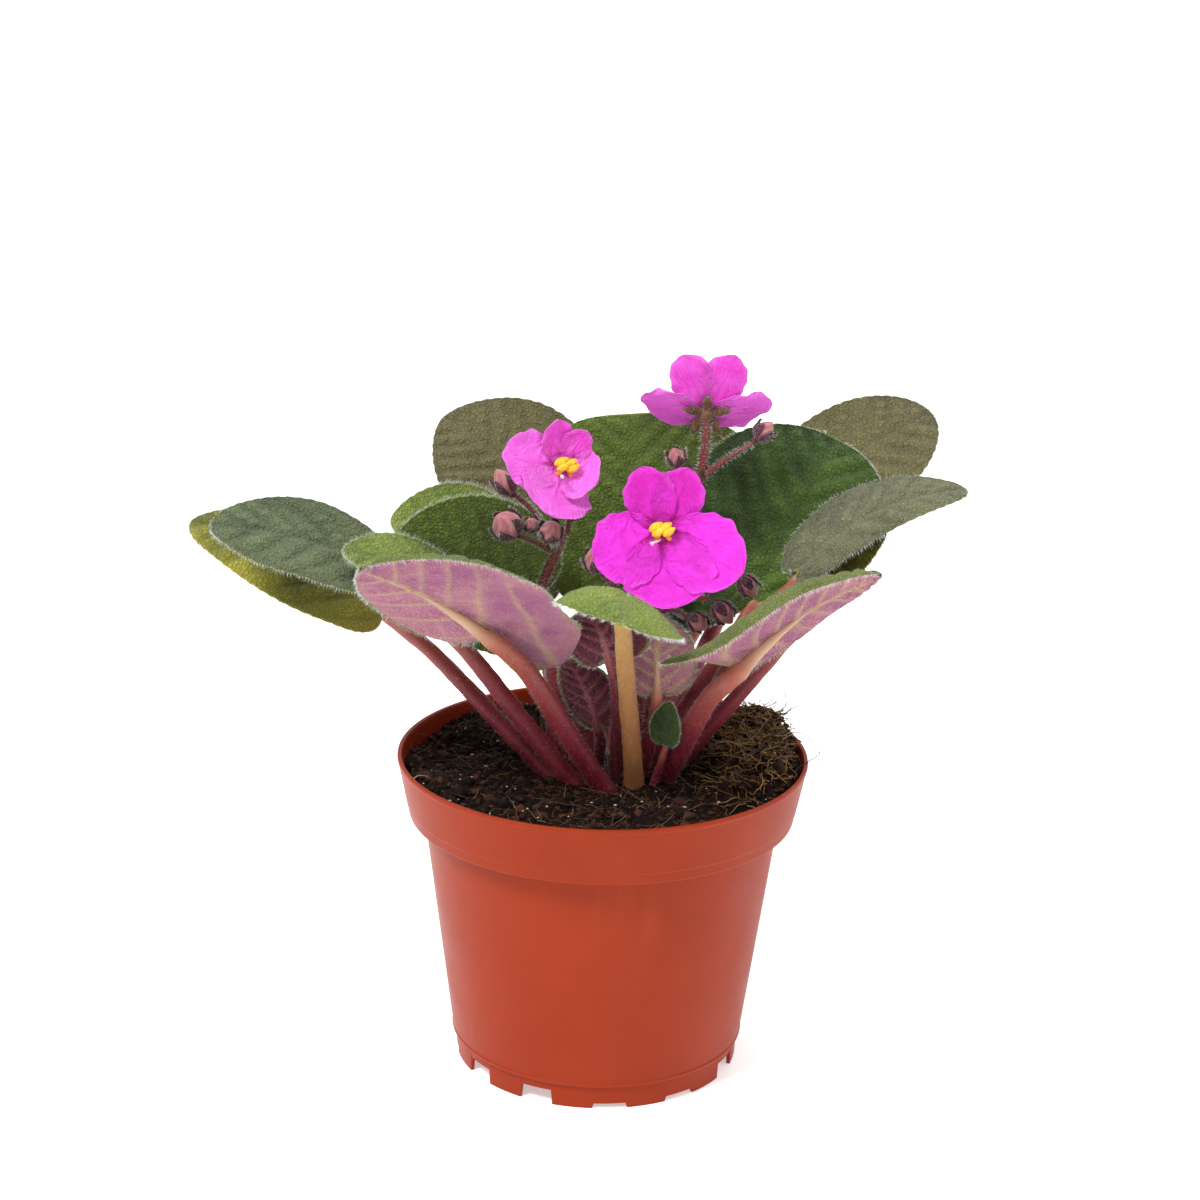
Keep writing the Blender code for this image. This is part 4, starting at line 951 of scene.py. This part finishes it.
def buildLeaf(name, leaf, seed):
    rng = np.random.default_rng(seed)
    part, top, under, normal = bladeOf(leaf, seed)
    path, widths = leafStem(leaf)
    share = np.linspace(0, 1, len(path))
    tone = smoothStep(0.25, 1.0, share)[:, None] + 0 * np.arange(16)
    ribs = smoothStep(46.0, 53.0, np.arange(len(path)))[:, None] + 0 * np.arange(16)
    stem = tube(path, widths, 16, 1, hint=leaf["face"], lump=0.07, seed=seed, tone=tone, rib=ribs)
    small = min(1.0, leaf["width"] / 30)
    rows, columns = blade["rows"], blade["columns"]
    # hairs on the rim point outwards from the blade, those on its face stand up and lean to the tip
    count = int(blade["edgeHairs"] * small * leaf.get("fringe", 1.0))
    rng.integers(1, rows - 1, count)  # drawn and not used; it keeps the draws after it in step
    weight = np.linalg.norm(np.diff(top[:, 0], axis=0), axis=1)
    i = np.searchsorted(np.cumsum(weight) / weight.sum(), rng.uniform(0, 1, count)).clip(1, rows - 2)
    j = np.where(rng.uniform(0, 1, count) < 0.5, 0, columns - 1)
    inside = np.where(j == 0, 3, columns - 4)
    roots = (top[i, j] + under[i, j]) / 2
    ways = unit(roots - top[i, inside]) + normal[i, j] * rng.normal(0.15, 0.45, (count, 1))
    ways = ways + rng.normal(0, 0.22, (count, 3))
    fringe = hairs(roots, ways, rng.uniform(0.7, 2.0, count) * small ** 0.5, blade["thin"], seed=seed)
    count = int(blade["topHairs"] * small)
    i = rng.integers(2, rows - 2, count)
    j = rng.integers(1, columns - 1, count)
    ahead = unit(top[i + 1, j] - top[i, j])
    ways = normal[i, j] + 0.5 * ahead + rng.normal(0, 0.3, (count, 3))
    pile = hairs(top[i, j], ways, rng.uniform(0.4, 0.9, count) * small ** 0.5, blade["thin"] * 0.7,
                 bent=False, seed=seed)
    count = int(blade["backHairs"] * small)
    i = rng.integers(2, rows - 2, count)
    j = rng.integers(1, columns - 1, count)
    ways = -normal[i, j] + rng.normal(0, 0.35, (count, 3))
    back = hairs(under[i, j], ways, rng.uniform(0.6, 1.2, count) * small ** 0.5, blade["thin"] * 0.8,
                 bent=False, seed=seed)
    count = int(blade["stemHairs"] * small)
    k = rng.integers(3, len(path) - 4, count)
    ahead = unit(path[k + 1] - path[k])
    ways = rng.normal(0, 1, (count, 3))
    ways = unit(ways - (ways * ahead).sum(-1, keepdims=True) * ahead)
    roots = path[k] + (path[k + 1] - path[k]) * rng.uniform(0, 1, (count, 1))
    roots = roots + ways * widths[k][:, None] * 0.97
    fuzz = hairs(roots, ways + rng.normal(0, 0.2, (count, 3)), rng.uniform(0.6, 1.5, count) * small ** 0.5,
                 blade["thin"] * 0.6, bent=False, seed=seed)
    finishes = [bladeFinishes[leaf["tone"]], stemFinishes[leaf.get("stem", "redStem")], whiteHair]
    return putMesh(name + "_skin", [part, stem, fringe, pile, back, fuzz], finishes, (name,))


for number, (leafName, leafShape) in enumerate(leaves.items()):
    buildLeaf(leafName, leafShape, 100 + number)
print("leaves built")


# flowers: throat, facing, upward side, and lobes as direction, length, width, forward bend

flowers = {
    "flower_front": dict(centre=(14.9, -27, 169.9), face=(-0.12, -0.93, 0.36), up=(0, 0.35, 0.93),
                         lobes=((66, 18.5, 14.5, 10), (112, 18.5, 14.5, 10), (210, 21, 21.5, 10),
                                (281, 22, 26.0, 6), (332, 25.5, 22.5, 10))),
    "flower_left": dict(centre=(-13.1, -12, 183.4), face=(0.42, -0.82, 0.38), up=(0.1, 0.35, 0.93),
                        look="pale",
                        lobes=((66, 12.5, 9.5, 50), (112, 13.5, 11.0, 35), (182, 20, 17.0, 20),
                               (254, 16.5, 22.0, 26), (332, 11.5, 15.5, 70))),
    "flower_rear": dict(centre=(27.2, 9.5, 194.5), face=(0.02, 0.955, 0.30), up=(0, -0.3, 0.95),
                        look="pale", lobes=((68, 20, 13.5, 4), (112, 20, 13.5, 4), (187, 20, 14.5, 40, 18),
                                            (270, 8, 13.0, 88), (-7, 20, 14.5, 40, -18))),
}
petalLooks = {
    "pink": petalFinish("petalSatin", dict(
        deep=(0.58, 0.015, 0.38, 1), main=(0.97, 0.045, 0.84, 1), veins=(0.60, 0.010, 0.42, 1),
        rim=(0.96, 0.14, 0.82, 1), throat=(0.46, 0.010, 0.24, 1))),
    "pale": petalFinish("palePetal", dict(
        deep=(0.84, 0.060, 0.58, 1), main=(1.0, 0.190, 0.86, 1), veins=(0.74, 0.060, 0.54, 1),
        rim=(0.97, 0.28, 0.84, 1), throat=(0.55, 0.030, 0.34, 1))),
}
calyxLook = plainFinish("calyx", (0.095, 0.030, 0.016, 1), (0.19, 0.085, 0.030, 1), (0.5, 0.75), 350.0,
                        0.0002,
                        Sheen_Weight=0.3, Specular_IOR_Level=0.3)
pollenLook = plainFinish("pollen", (0.88, 0.42, 0.010, 1), (0.98, 0.72, 0.035, 1), (0.45, 0.7), 900.0,
                         0.0002,
                         Subsurface_Weight=0.2, Subsurface_Scale=0.001)
filamentLook = plainFinish("filament", (0.80, 0.22, 0.02, 1), (0.92, 0.45, 0.06, 1), (0.4, 0.6), 700.0,
                           0.0001)
styleLook = plainFinish("style", (0.86, 0.52, 0.62, 1), (0.95, 0.78, 0.80, 1), (0.4, 0.6), 500.0, 0.0001,
                        Subsurface_Weight=0.2, Subsurface_Scale=0.001)


def axesOf(face, up):
    # the flower's own sideways, upward and forward directions
    face = unit(np.array(face, float))
    up = np.array(up, float)
    up = unit(up - (up @ face) * face)
    return np.cross(up, face), up, face


def sheetLobe(centre, axes, angle, length, width, bend, seed, twist=0.0, tone=0.5, full=1.12, power=0.56,
              frill=0.6, thick=0.42, edge=0.22, rows=46, columns=31, finish=0, cup=0.10):
    # one lobe: width * sin(pi t^full)^power across, bent forwards along a circle, with a frilled rim
    right, up, face = axes
    a, turn = np.radians(angle), np.radians(bend if abs(bend) > 0.5 else 0.5)
    way, side = right * np.cos(a) + up * np.sin(a), up * np.cos(a) - right * np.sin(a)
    twist = np.radians(twist)
    side, face = side * np.cos(twist) + face * np.sin(twist), face * np.cos(twist) - side * np.sin(twist)
    s = np.linspace(0, 1, rows)
    t = 0.25 * s + 0.75 * (1 - np.cos(np.pi * s)) / 2
    w = np.sin(1.2 * np.linspace(-1, 1, columns)) / np.sin(1.2)
    half = width / 2 * np.sin(np.pi * np.clip(t, 0, 1) ** full) ** (power - 0.14 * (1 - t))
    half = half * (1 + 0.05 * np.sin(s * 23 + seed) * smoothStep(0.4, 0.8, s)
                   + 0.03 * np.sin(s * 41 + 2 * seed))
    half[0] = max(half[1] * 0.5, 0.05)
    half[-1] = 0
    t2, w2 = t[:, None] + 0 * w, w + 0 * t[:, None]
    out = np.sin(turn * t2) / turn
    lift = (1 - np.cos(turn * t2)) / turn
    forward = way * np.cos(turn * t2)[..., None] + face * np.sin(turn * t2)[..., None]
    normal = face * np.cos(turn * t2)[..., None] - way * np.sin(turn * t2)[..., None]
    grid = centre + way * (length * out)[..., None] + face * (length * lift)[..., None]
    grid = grid + side * (half[:, None] * w2)[..., None]
    far = np.maximum(np.abs(w2), smoothStep(0.72, 1.0, t2))
    wave = lumps(grid, 4.2, seed) * 1.4 + np.sin(w2 * 9 + t2 * 17 + seed) * 0.35
    rise = frill * wave * far ** 2.5 + cup * half[:, None] * w2 ** 2
    grid = grid + normal * rise[..., None]
    tip = 0.45 * frill * lumps(grid, 2.6, seed + 3) * smoothStep(0.8, 1.0, t2)
    grid = grid + forward * tip[..., None]
    fan = np.arctan2(half[:, None] * w2, length * (t2 + 0.12))
    vein = np.exp(-((fan * 15 - np.round(fan * 15)) / 0.16) ** 2) * (1 - t2 ** 3)
    relief = 0.10 * vein + 0.08 * lumps(grid, 1.7, seed + 5)
    border = np.minimum(half[:, None] * (1 - np.abs(w2)), length * (1 - t2))
    rim = np.clip(1 - border / 5, 0, 1) * smoothStep(0.25, 0.6, t2)
    deep = (thick + (edge - thick) * far ** 2)[..., None] / 2
    top, back = grid + normal * (relief[..., None] + deep), grid + normal * (relief[..., None] - deep)
    throat = smoothStep(0.20, 0.04, t2)
    both = dict(vein=vein, rim=rim, throat=throat, tone=tone + 0 * vein)
    both = {key: bothSides(value) for key, value in both.items()}
    return ringShell(bothSides(top, back), finish, **both), top, normal


def sideways(axis):
    # two directions square to an axis
    right = unit(np.cross(axis, (0.3, 0.2, 1.0) if abs(axis[2]) < 0.9 else (1.0, 0.1, 0)))
    return right, np.cross(right, axis)


def crowded(rings):
    # steps from just over 0 to just under 1, closer together at both ends
    return (1 - np.cos(np.pi * (np.arange(rings) + 0.35) / (rings - 0.3))) / 2


def egg(centre, axis, length, radius, rings=26, sides=24, finish=0, pattern=None, **values):
    # rings of radius * sin(pi t^0.85)^0.75 along an axis; pattern(t, angle) scales them
    axis = unit(np.array(axis, float))
    right, up = sideways(axis)
    t = crowded(rings)
    a = np.arange(sides) * 2 * np.pi / sides
    r = radius * np.sin(np.pi * t ** 0.85) ** 0.75
    scale = pattern(t[:, None], a[None]) if pattern else 1.0
    around = right * np.cos(a)[:, None] + up * np.sin(a)[:, None]
    centre = np.array(centre, float)
    bands = centre + axis * (length * (t
                                       - 0.5))[:, None, None] + around[None] * (r[:, None] * scale)[..., None]
    ends = centre - axis * length / 2, centre + axis * length / 2
    return ringShell(bands, finish, ends[0], ends[1], **values)


def fuzzOn(points, ways, count, low, high, seed, finish, thick=0.036):
    # hairs started at chosen surface points, leaning a little at random
    rng = np.random.default_rng(seed)
    pick = rng.integers(0, len(points), count)
    lean = ways[pick] + rng.normal(0, 0.3, (count, 3))
    return hairs(points[pick], lean, rng.uniform(low, high, count), thick, finish, seed=seed)


def buildFlower(name, flower, seed):
    axes = axesOf(flower["face"], flower["up"])
    up, face = axes[1:]
    centre = np.array(flower["centre"], float)
    parts = []
    for k, (angle, length, width, bend, *twist) in enumerate(flower["lobes"]):
        start = centre + face * (0.12 * k - 0.35)
        twist = twist[0] if twist else 0.0
        tone = 0.2 if k < 2 else 0.8
        part, top, normal = sheetLobe(start, axes, angle, length, width, bend, seed + 7 * k, twist, tone)
        parts.append(part)
    t = np.linspace(0, 1, 12)
    cone = tube(centre + face * (0.9 - 2.6 * t)[:, None], 3.1 - 1.7 * t, 30, 0, hint=up, throat=1.0)
    putMesh(name + "_lobes", parts + [cone], [petalLooks[flower.get("look", "pink")]],
            (name + "_petals",))
    parts, roots, ways = [], [], []
    for k in range(5):
        part, top, normal = sheetLobe(centre - face * 1.5, axes, 90 + 72 * k, 7.6, 2.9, -22, seed + 90 + k,
                                      full=0.85, power=0.8, frill=0.12, thick=0.55, edge=0.3,
                                      rows=26, columns=11, cup=0.35)
        parts.append(part)
        roots.append(top.reshape(-1, 3) - normal.reshape(-1, 3) * 0.5)
        ways.append(-normal.reshape(-1, 3))
    base = egg(centre - face * 2.0, -face, 3.6, 1.7, 16, 20)
    down = fuzzOn(np.concatenate(roots), np.concatenate(ways), 260, 0.5, 1.1, seed, 1, 0.022)
    putMesh(name + "_calyx", parts + [base, down], [calyxLook, whiteHair], (name + "_sepals",))
    tall = unit(np.array(flower["up"], float))
    aside = np.cross(tall, face)

    def grooved(t, a):  # a pollen sac has one deep groove down its front and a shallow one behind
        front = np.exp(-((a - np.pi / 2) / 0.30) ** 2)
        behind = np.exp(-((a - 1.5 * np.pi) / 0.30) ** 2)
        return 1 - 0.30 * front - 0.15 * behind
    parts = []
    lean = tall * 0.55 + aside * 0.85  # the sacs lie across the throat
    for k, (shift, out, length) in enumerate(((-1.3, 2.6, 5.0), (1.5, 2.8, 4.6))):
        spot = centre + face * out + aside * shift
        for part in (-0.8, 0.8):
            place = spot + np.cross(unit(lean), face) * part + face * (0.3 - 0.2 * abs(shift))
            parts.append(egg(place, lean + face * 0.25, length * 0.92, 1.25, 24, 24, 0, grooved))
        bow = (centre + face * 0.2 - tall * 1.2 + aside * shift * 0.5, centre + face * 1.0 - tall * 2.4
               + aside * shift * 1.3,
               spot - tall * 1.9 - face * 0.3)
        parts.append(tube(throughPoints(bow, 14), np.linspace(0.75, 0.55, 14), 10, 1))
    putMesh(name + "_pollen", parts, [pollenLook, filamentLook], (name + "_anthers",))
    low = -tall
    start = centre + face * 1.2 + low * 2.9 - aside * 0.8
    bow = (centre + face * 0.1 + low * 1.6 - aside * 0.3, start, start + face * 2.4 + low * 0.6
           - aside * 0.6,
           start + face * 4.8 + low * 1.4 - aside * 1.6)
    path = throughPoints(bow, 30)
    wide = 0.36 + 0.24 * np.exp(-((np.linspace(0, 1, 30) - 1) / 0.08) ** 2)
    putMesh(name + "_style", [tube(path, wide, 14, 0)], [styleLook], (name + "_pistil",))


for number, (flowerName, flowerShape) in enumerate(flowers.items()):
    buildFlower(flowerName, flowerShape, 300 + 40 * number)
print("flowers built")


# flower stalks: a main stem and the side stems that leave it

stalks = {
    "stalk_left": dict(
        stem=((-6.5, 3.5, 88), (-8, 3.5, 108), (-13.5, -1, 126), (-18.8, -4.5, 142.3), (-15, -7, 156),
              (-13, -8, 163)),
        radius=(2.0, 1.3), bract=(-15, -7, 156), sides=(
            ((-14.5, -6.5, 157), (-10.5, -8, 168), (-12, -8, 177), (-13.8, -10.2, 182.2)),
            ((-14.2, -6.8, 158), (-21, -6, 168), (-26.5, -6.5, 173.2)),
            ((-14.8, -6.4, 156), (-20, -9, 160), (-25.4, -11.7, 162.8)),
            ((-14.5, -6.6, 157), (-15, -10, 160), (-15.6, -12.6, 161.6)))),
    "stalk_front": dict(
        stem=((8.9, -0.8, 88), (9.8, -3.5, 108), (11.5, -6.5, 128), (12.5, -9.5, 140), (13, -12, 146)),
        radius=(1.7, 1.3), bract=(12.6, -10, 142), sides=(
            ((12.7, -10.5, 142), (15, -15, 156), (15.3, -21.5, 166), (15.1, -25, 169)),
            ((12.5, -9.5, 140), (4.5, -13.5, 147), (-1.4, -17.4, 153.8)),
            ((12.5, -9.5, 140), (18.5, -15, 143), (23.3, -19, 142)),
            ((12.6, -10, 141), (21, -15.5, 147), (28.6, -21, 148.4)),
            ((12.8, -11, 143.5), (26, -15, 152), (36.4, -19.8, 155.2)))),
    "stalk_rear": dict(
        stem=((9.5, 8, 88), (15, 6, 125), (21.5, 5, 155), (25.8, 6, 175), (27, 6.6, 186), (27.1, 8, 193)),
        radius=(1.9, 1.2), bract=(25.8, 6, 175), sides=(
            ((25.8, 6, 175), (22.5, 5.5, 177), (20.8, 5.8, 178.6)),
            ((25.9, 6, 176), (34, 4, 183), (40.6, 4, 187.2)))),
}
flowerStem = stemFinish("flowerStem", dict(foot=(0.13, 0.022, 0.026, 1), top=(0.20, 0.035, 0.036, 1),
                                           streak=(0.26, 0.07, 0.05, 1), speck=(0.34, 0.15, 0.10, 1)))


def stemHairs(path, widths, count, low, high, seed):
    rng = np.random.default_rng(seed)
    k = rng.integers(1, len(path) - 1, count)
    ahead = unit(np.gradient(path, axis=0))[k]
    ways = rng.normal(0, 1, (count, 3))
    ways = unit(ways - (ways * ahead).sum(-1, keepdims=True) * ahead)
    roots = path[k] + ways * widths[k][:, None] * 0.97
    return hairs(roots, ways + rng.normal(0, 0.25, (count, 3)), rng.uniform(low, high, count), 0.036, 1,
                 seed=seed)


def buildStalk(name, stalk, seed):
    path = throughPoints(stalk["stem"], 70)
    path = np.vstack([path[0] + (path[0] - path[1]) * np.linspace(5, 1, 3)[:, None], path])
    widths = np.linspace(stalk["radius"][0], stalk["radius"][1], len(path)) * 0.92
    parts = [tube(path, widths, 16, 0, lump=0.08, seed=seed, tone=0.5),
             stemHairs(path, widths, 900, 0.7, 1.7, seed)]
    for k, side in enumerate(stalk["sides"]):
        path = throughPoints(side, 34)
        widths = np.linspace(0.85, 0.62, 34) + 0.3 * np.exp(-np.linspace(0, 1, 34) / 0.05)
        parts += [tube(path, widths, 12, 0, lump=0.1, seed=seed + k, tone=0.8),
                  stemHairs(path, widths, 300, 0.6, 1.4, seed + k)]
    spot = np.array(stalk["bract"], float)
    for k in range(3):
        axes = axesOf((np.cos(2.1 * k + 0.6), np.sin(2.1 * k + 0.6), -0.2), (0, 0, 1))
        part, top, normal = sheetLobe(spot + axes[2] * 0.9, axes, 90, 6.0, 2.2, 38, seed + k, full=0.85,
                                      power=0.8, frill=0.1,
                                      thick=0.5, edge=0.3, rows=20, columns=9, cup=0.4, finish=2)
        parts.append(part)
    putMesh(name + "_skin", parts, [flowerStem, whiteHair, calyxLook], (name,))


for number, (stalkName, stalkShape) in enumerate(stalks.items()):
    buildStalk(stalkName, stalkShape, 500 + 20 * number)
print("stalks built")


# buds: middle, direction, length, widest radius

buds = {
    "bud_left_top": ((-29.6, -7.6, 177.2), (-0.5, -0.2, 0.8), 9.0, 2.9),
    "bud_left_large": ((-28.6, -14.2, 166.6), (-0.5, -0.5, 0.6), 9.4, 4.3),
    "bud_left_middle": ((-16.1, -15, 165.4), (0, -0.6, 0.8), 7.2, 3.2),
    "bud_left_small": ((-21.6, -10, 165.6), (-0.5, -0.5, 0.7), 5.0, 2.0),
    "bud_front_left": ((-3.3, -18.4, 158.2), (-0.3, -0.4, 0.9), 8.4, 3.4),
    "bud_front_low": ((25.8, -21.9, 141.8), (0.4, -0.5, -0.3), 6.6, 2.6),
    "bud_front_middle": ((32.6, -23.8, 145.4), (0.5, -0.4, -0.5), 8.0, 3.0),
    "bud_front_right": ((39.4, -20.8, 152.4), (0.5, -0.3, -0.6), 7.0, 2.7),
    "bud_rear_left": ((18.8, 5.2, 182.2), (-0.3, -0.3, 0.9), 6.4, 2.5),
    "bud_rear_right": ((43.4, 4, 190.8), (0.6, 0, 0.7), 7.0, 2.7),
}
budLook = shadedFinish("budPetal", (0.30, 0.055, 0.10, 1), (0.62, 0.28, 0.27, 1), (0.4, 0.65), 400.0,
                       0.00015,
                       Sheen_Weight=0.3, Subsurface_Weight=0.15, Subsurface_Scale=0.002)
hull = plainFinish("budSepal", (0.040, 0.007, 0.018, 1), (0.11, 0.022, 0.032, 1), (0.5, 0.75), 380.0,
                   0.0002,
                   Sheen_Weight=0.35, Specular_IOR_Level=0.3)


def buildBud(name, middle, axis, length, radius, seed):
    axis = unit(np.array(axis, float))
    middle = np.array(middle, float)

    def folded(t, a):  # five petal edges wind round the bud; each makes a small step
        lap = (a + 2.4 * t) * 5 / (2 * np.pi)
        lap = lap - np.floor(lap)
        return 1 - 0.10 * (1 - lap) ** 3 * smoothStep(0.15, 0.5, t) + 0 * a
    sides, rings = 40, 30
    t = crowded(rings)
    a = np.arange(sides) * 2 * np.pi / sides
    # painted shade: each petal is darkest in the step just under the overlapping edge and lightest towards
    # its own edge; the bud is also darker towards its foot
    lap = (a[None] + 2.4 * t[:, None]) * 5 / (2 * np.pi)
    shade = 0.25 + 0.5 * (lap - np.floor(lap)) * smoothStep(0.1, 0.6, t)[:, None]
    core = egg(middle, axis, length, radius, rings, sides, 0, folded, shade=shade)
    right, up = sideways(axis)
    parts, roots, ways = [core], [], []
    rows, columns = 24, 9
    for k in range(5):
        s = np.linspace(0, 1, rows)
        w = np.linspace(-1, 1, columns)
        share = 0.02 + 0.78 * s
        wide = 0.50 * np.sin(np.pi * (0.12 + 0.88 * s) ** 0.8) ** 0.8
        around = 2 * np.pi * k / 5 + 0.3 + wide[:, None] * w
        r = radius * np.sin(np.pi * np.clip(share, 0.02, 1) ** 0.85) ** 0.75
        r = r + 0.25 + 0.9 * smoothStep(0.62, 1.0, s)
        out = right * np.cos(around)[..., None] + up * np.sin(around)[..., None]
        place = middle + axis * (length * (share - 0.5))[:, None, None] + out * r[:, None, None]
        sheet = bothSides(place + out * 0.22, place - out * 0.22)
        parts.append(ringShell(sheet, 1))
        roots.append((place + out * 0.2).reshape(-1, 3))
        ways.append((out + axis * 0.5).reshape(-1, 3))
    parts.append(fuzzOn(np.concatenate(roots), np.concatenate(ways), 300, 0.5, 1.3, seed, 2, 0.024))
    parts.append(egg(middle - axis * length * 0.5, axis, 1.9, 1.15, 12, 16, 1))
    putMesh(name + "_skin", parts, [budLook, hull, whiteHair], (name,))


for number, (budName, budShape) in enumerate(buds.items()):
    buildBud(budName, *budShape, 600 + number)
print("buds built")


# crown: the short stem in the middle that every stalk leaves, with tiny leaflets

crown = dict(place=(3.5, 1.0, 87.2), length=6.5, radius=4.2)


def buildCrown():
    def scaly(t, a):  # old leaf bases make two families of ridges round it
        return 1 + 0.10 * np.sin(5 * a + 9 * t) + 0.07 * np.sin(8 * a - 12 * t)
    bark = plainFinish("crownBark", (0.055, 0.026, 0.016, 1), (0.16, 0.095, 0.045, 1), (0.6, 0.9), 500.0,
                       0.0004)
    parts = [egg(crown["place"], (0, 0, 1), crown["length"], crown["radius"], 30, 44, 0, scaly)]
    for k in range(6):
        a = k * 2.4
        way = np.array([np.cos(a), np.sin(a), 0])
        start = np.array(crown["place"]) + way * 1.6 + np.array([0, 0, 2.2])
        part, top, normal = sheetLobe(start, axesOf(way, (0, 0, 1)), 90, 4.0 + 0.5 * k, 2.6, 20, 700 + k,
                                      full=0.9, power=0.7,
                                      frill=0.1, thick=0.5, edge=0.3, rows=18, columns=9, cup=-0.4,
                                      finish=1)
        parts += [part, fuzzOn(top.reshape(-1, 3), normal.reshape(-1, 3), 60, 0.5, 1.0, 700 + k, 2)]
    putMesh("crownHeart", parts, [bark, bladeFinishes["fresh"], whiteHair], ("crown",))


buildCrown()
print("crown built")


# floor, light and camera

def addLight(name, origin, power, spread):
    # a far, wide, soft light that shines from that direction; spread is its width in degrees
    lamp = bpy.data.lights.new(name, "SUN")
    lamp.energy = power
    lamp.angle = np.radians(spread)
    item = bpy.data.objects.new(name, lamp)
    item.location = Vector(origin) * 2
    item.rotation_euler = (-Vector(origin)).to_track_quat("-Z", "Y").to_euler()
    bpy.context.scene.collection.objects.link(item)


def buildStudio():
    mesh = bpy.data.meshes.new("studioFloor")
    s = studio["floorHalf"]
    mesh.from_pydata([(-s, -s, 0), (s, -s, 0), (s, s, 0), (-s, s, 0)], [], [(0, 1, 2, 3)])
    floor = bpy.data.objects.new("studioFloor", mesh)
    bpy.context.scene.collection.objects.link(floor)
    paper = Finish("studioPaper", Roughness=0.9, Specular_IOR_Level=0.1, Emission_Strength=studio["glow"])
    paper.shader.inputs["Emission Color"].default_value = (1, 1, 1, 1)
    mesh.materials.append(paper.colour((0.93, 0.93, 0.93, 1)))
    world = bpy.data.worlds.new("studio")
    world.use_nodes = True
    world.node_tree.nodes["Background"].inputs["Color"].default_value = (1, 1, 1, 1)
    world.node_tree.nodes["Background"].inputs["Strength"].default_value = studio["world"]
    bpy.context.scene.world = world
    for lamp in studio["lamps"]:
        addLight(*lamp)
    bpy.context.scene.view_settings.view_transform = "Standard"
    eye = bpy.data.cameras.new("viewCamera")
    eye.sensor_width = 36.0
    eye.lens = studio["lens"]
    eye.clip_start = 0.01
    camera = bpy.data.objects.new("viewCamera", eye)
    tilt = Matrix.Rotation(np.radians(studio["tilt"]), 4,
                           "X") @ Matrix.Rotation(np.radians(studio["roll"]), 4, "Z")
    camera.matrix_world = Matrix.Translation(Vector(studio["eye"])) @ tilt
    bpy.context.scene.collection.objects.link(camera)
    bpy.context.scene.camera = camera


studio = dict(
    world=0.45, glow=0.45, floorHalf=14.0,
    lamps=(("keyLight", (-0.55, -0.50, 1.0), 2.7, 18.0), ("fillLight", (0.9, -0.25, 0.7), 0.5, 60.0),
           ("backLight", (0.2, 0.9, 1.0), 1.1, 50.0)),
    eye=(0.00808, -0.76018, 0.38070), tilt=72.21, roll=1.38, lens=82.0,
)
buildStudio()
print("studio ready")


# sizes: each piece against the CAD node it stands for, and the worst of them

worst = 0.0
worthSaying = 0.0035  # metres outside its node from which a piece is named
for piece in bpy.data.objects:
    for nodeName in piece.get("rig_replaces", []):
        low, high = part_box(nodeName)
        corners = np.array([v.co for v in piece.data.vertices])
        grown = max(float((np.array(low) - corners.min(0)).max()),
                    float((corners.max(0) - np.array(high)).max()))
        worst = max(worst, grown)
        if grown > worthSaying:
            print("outside its node by", round(grown * 1000, 1), "mm:", piece.name)
print("worst", round(worst * 1000, 1), "mm")
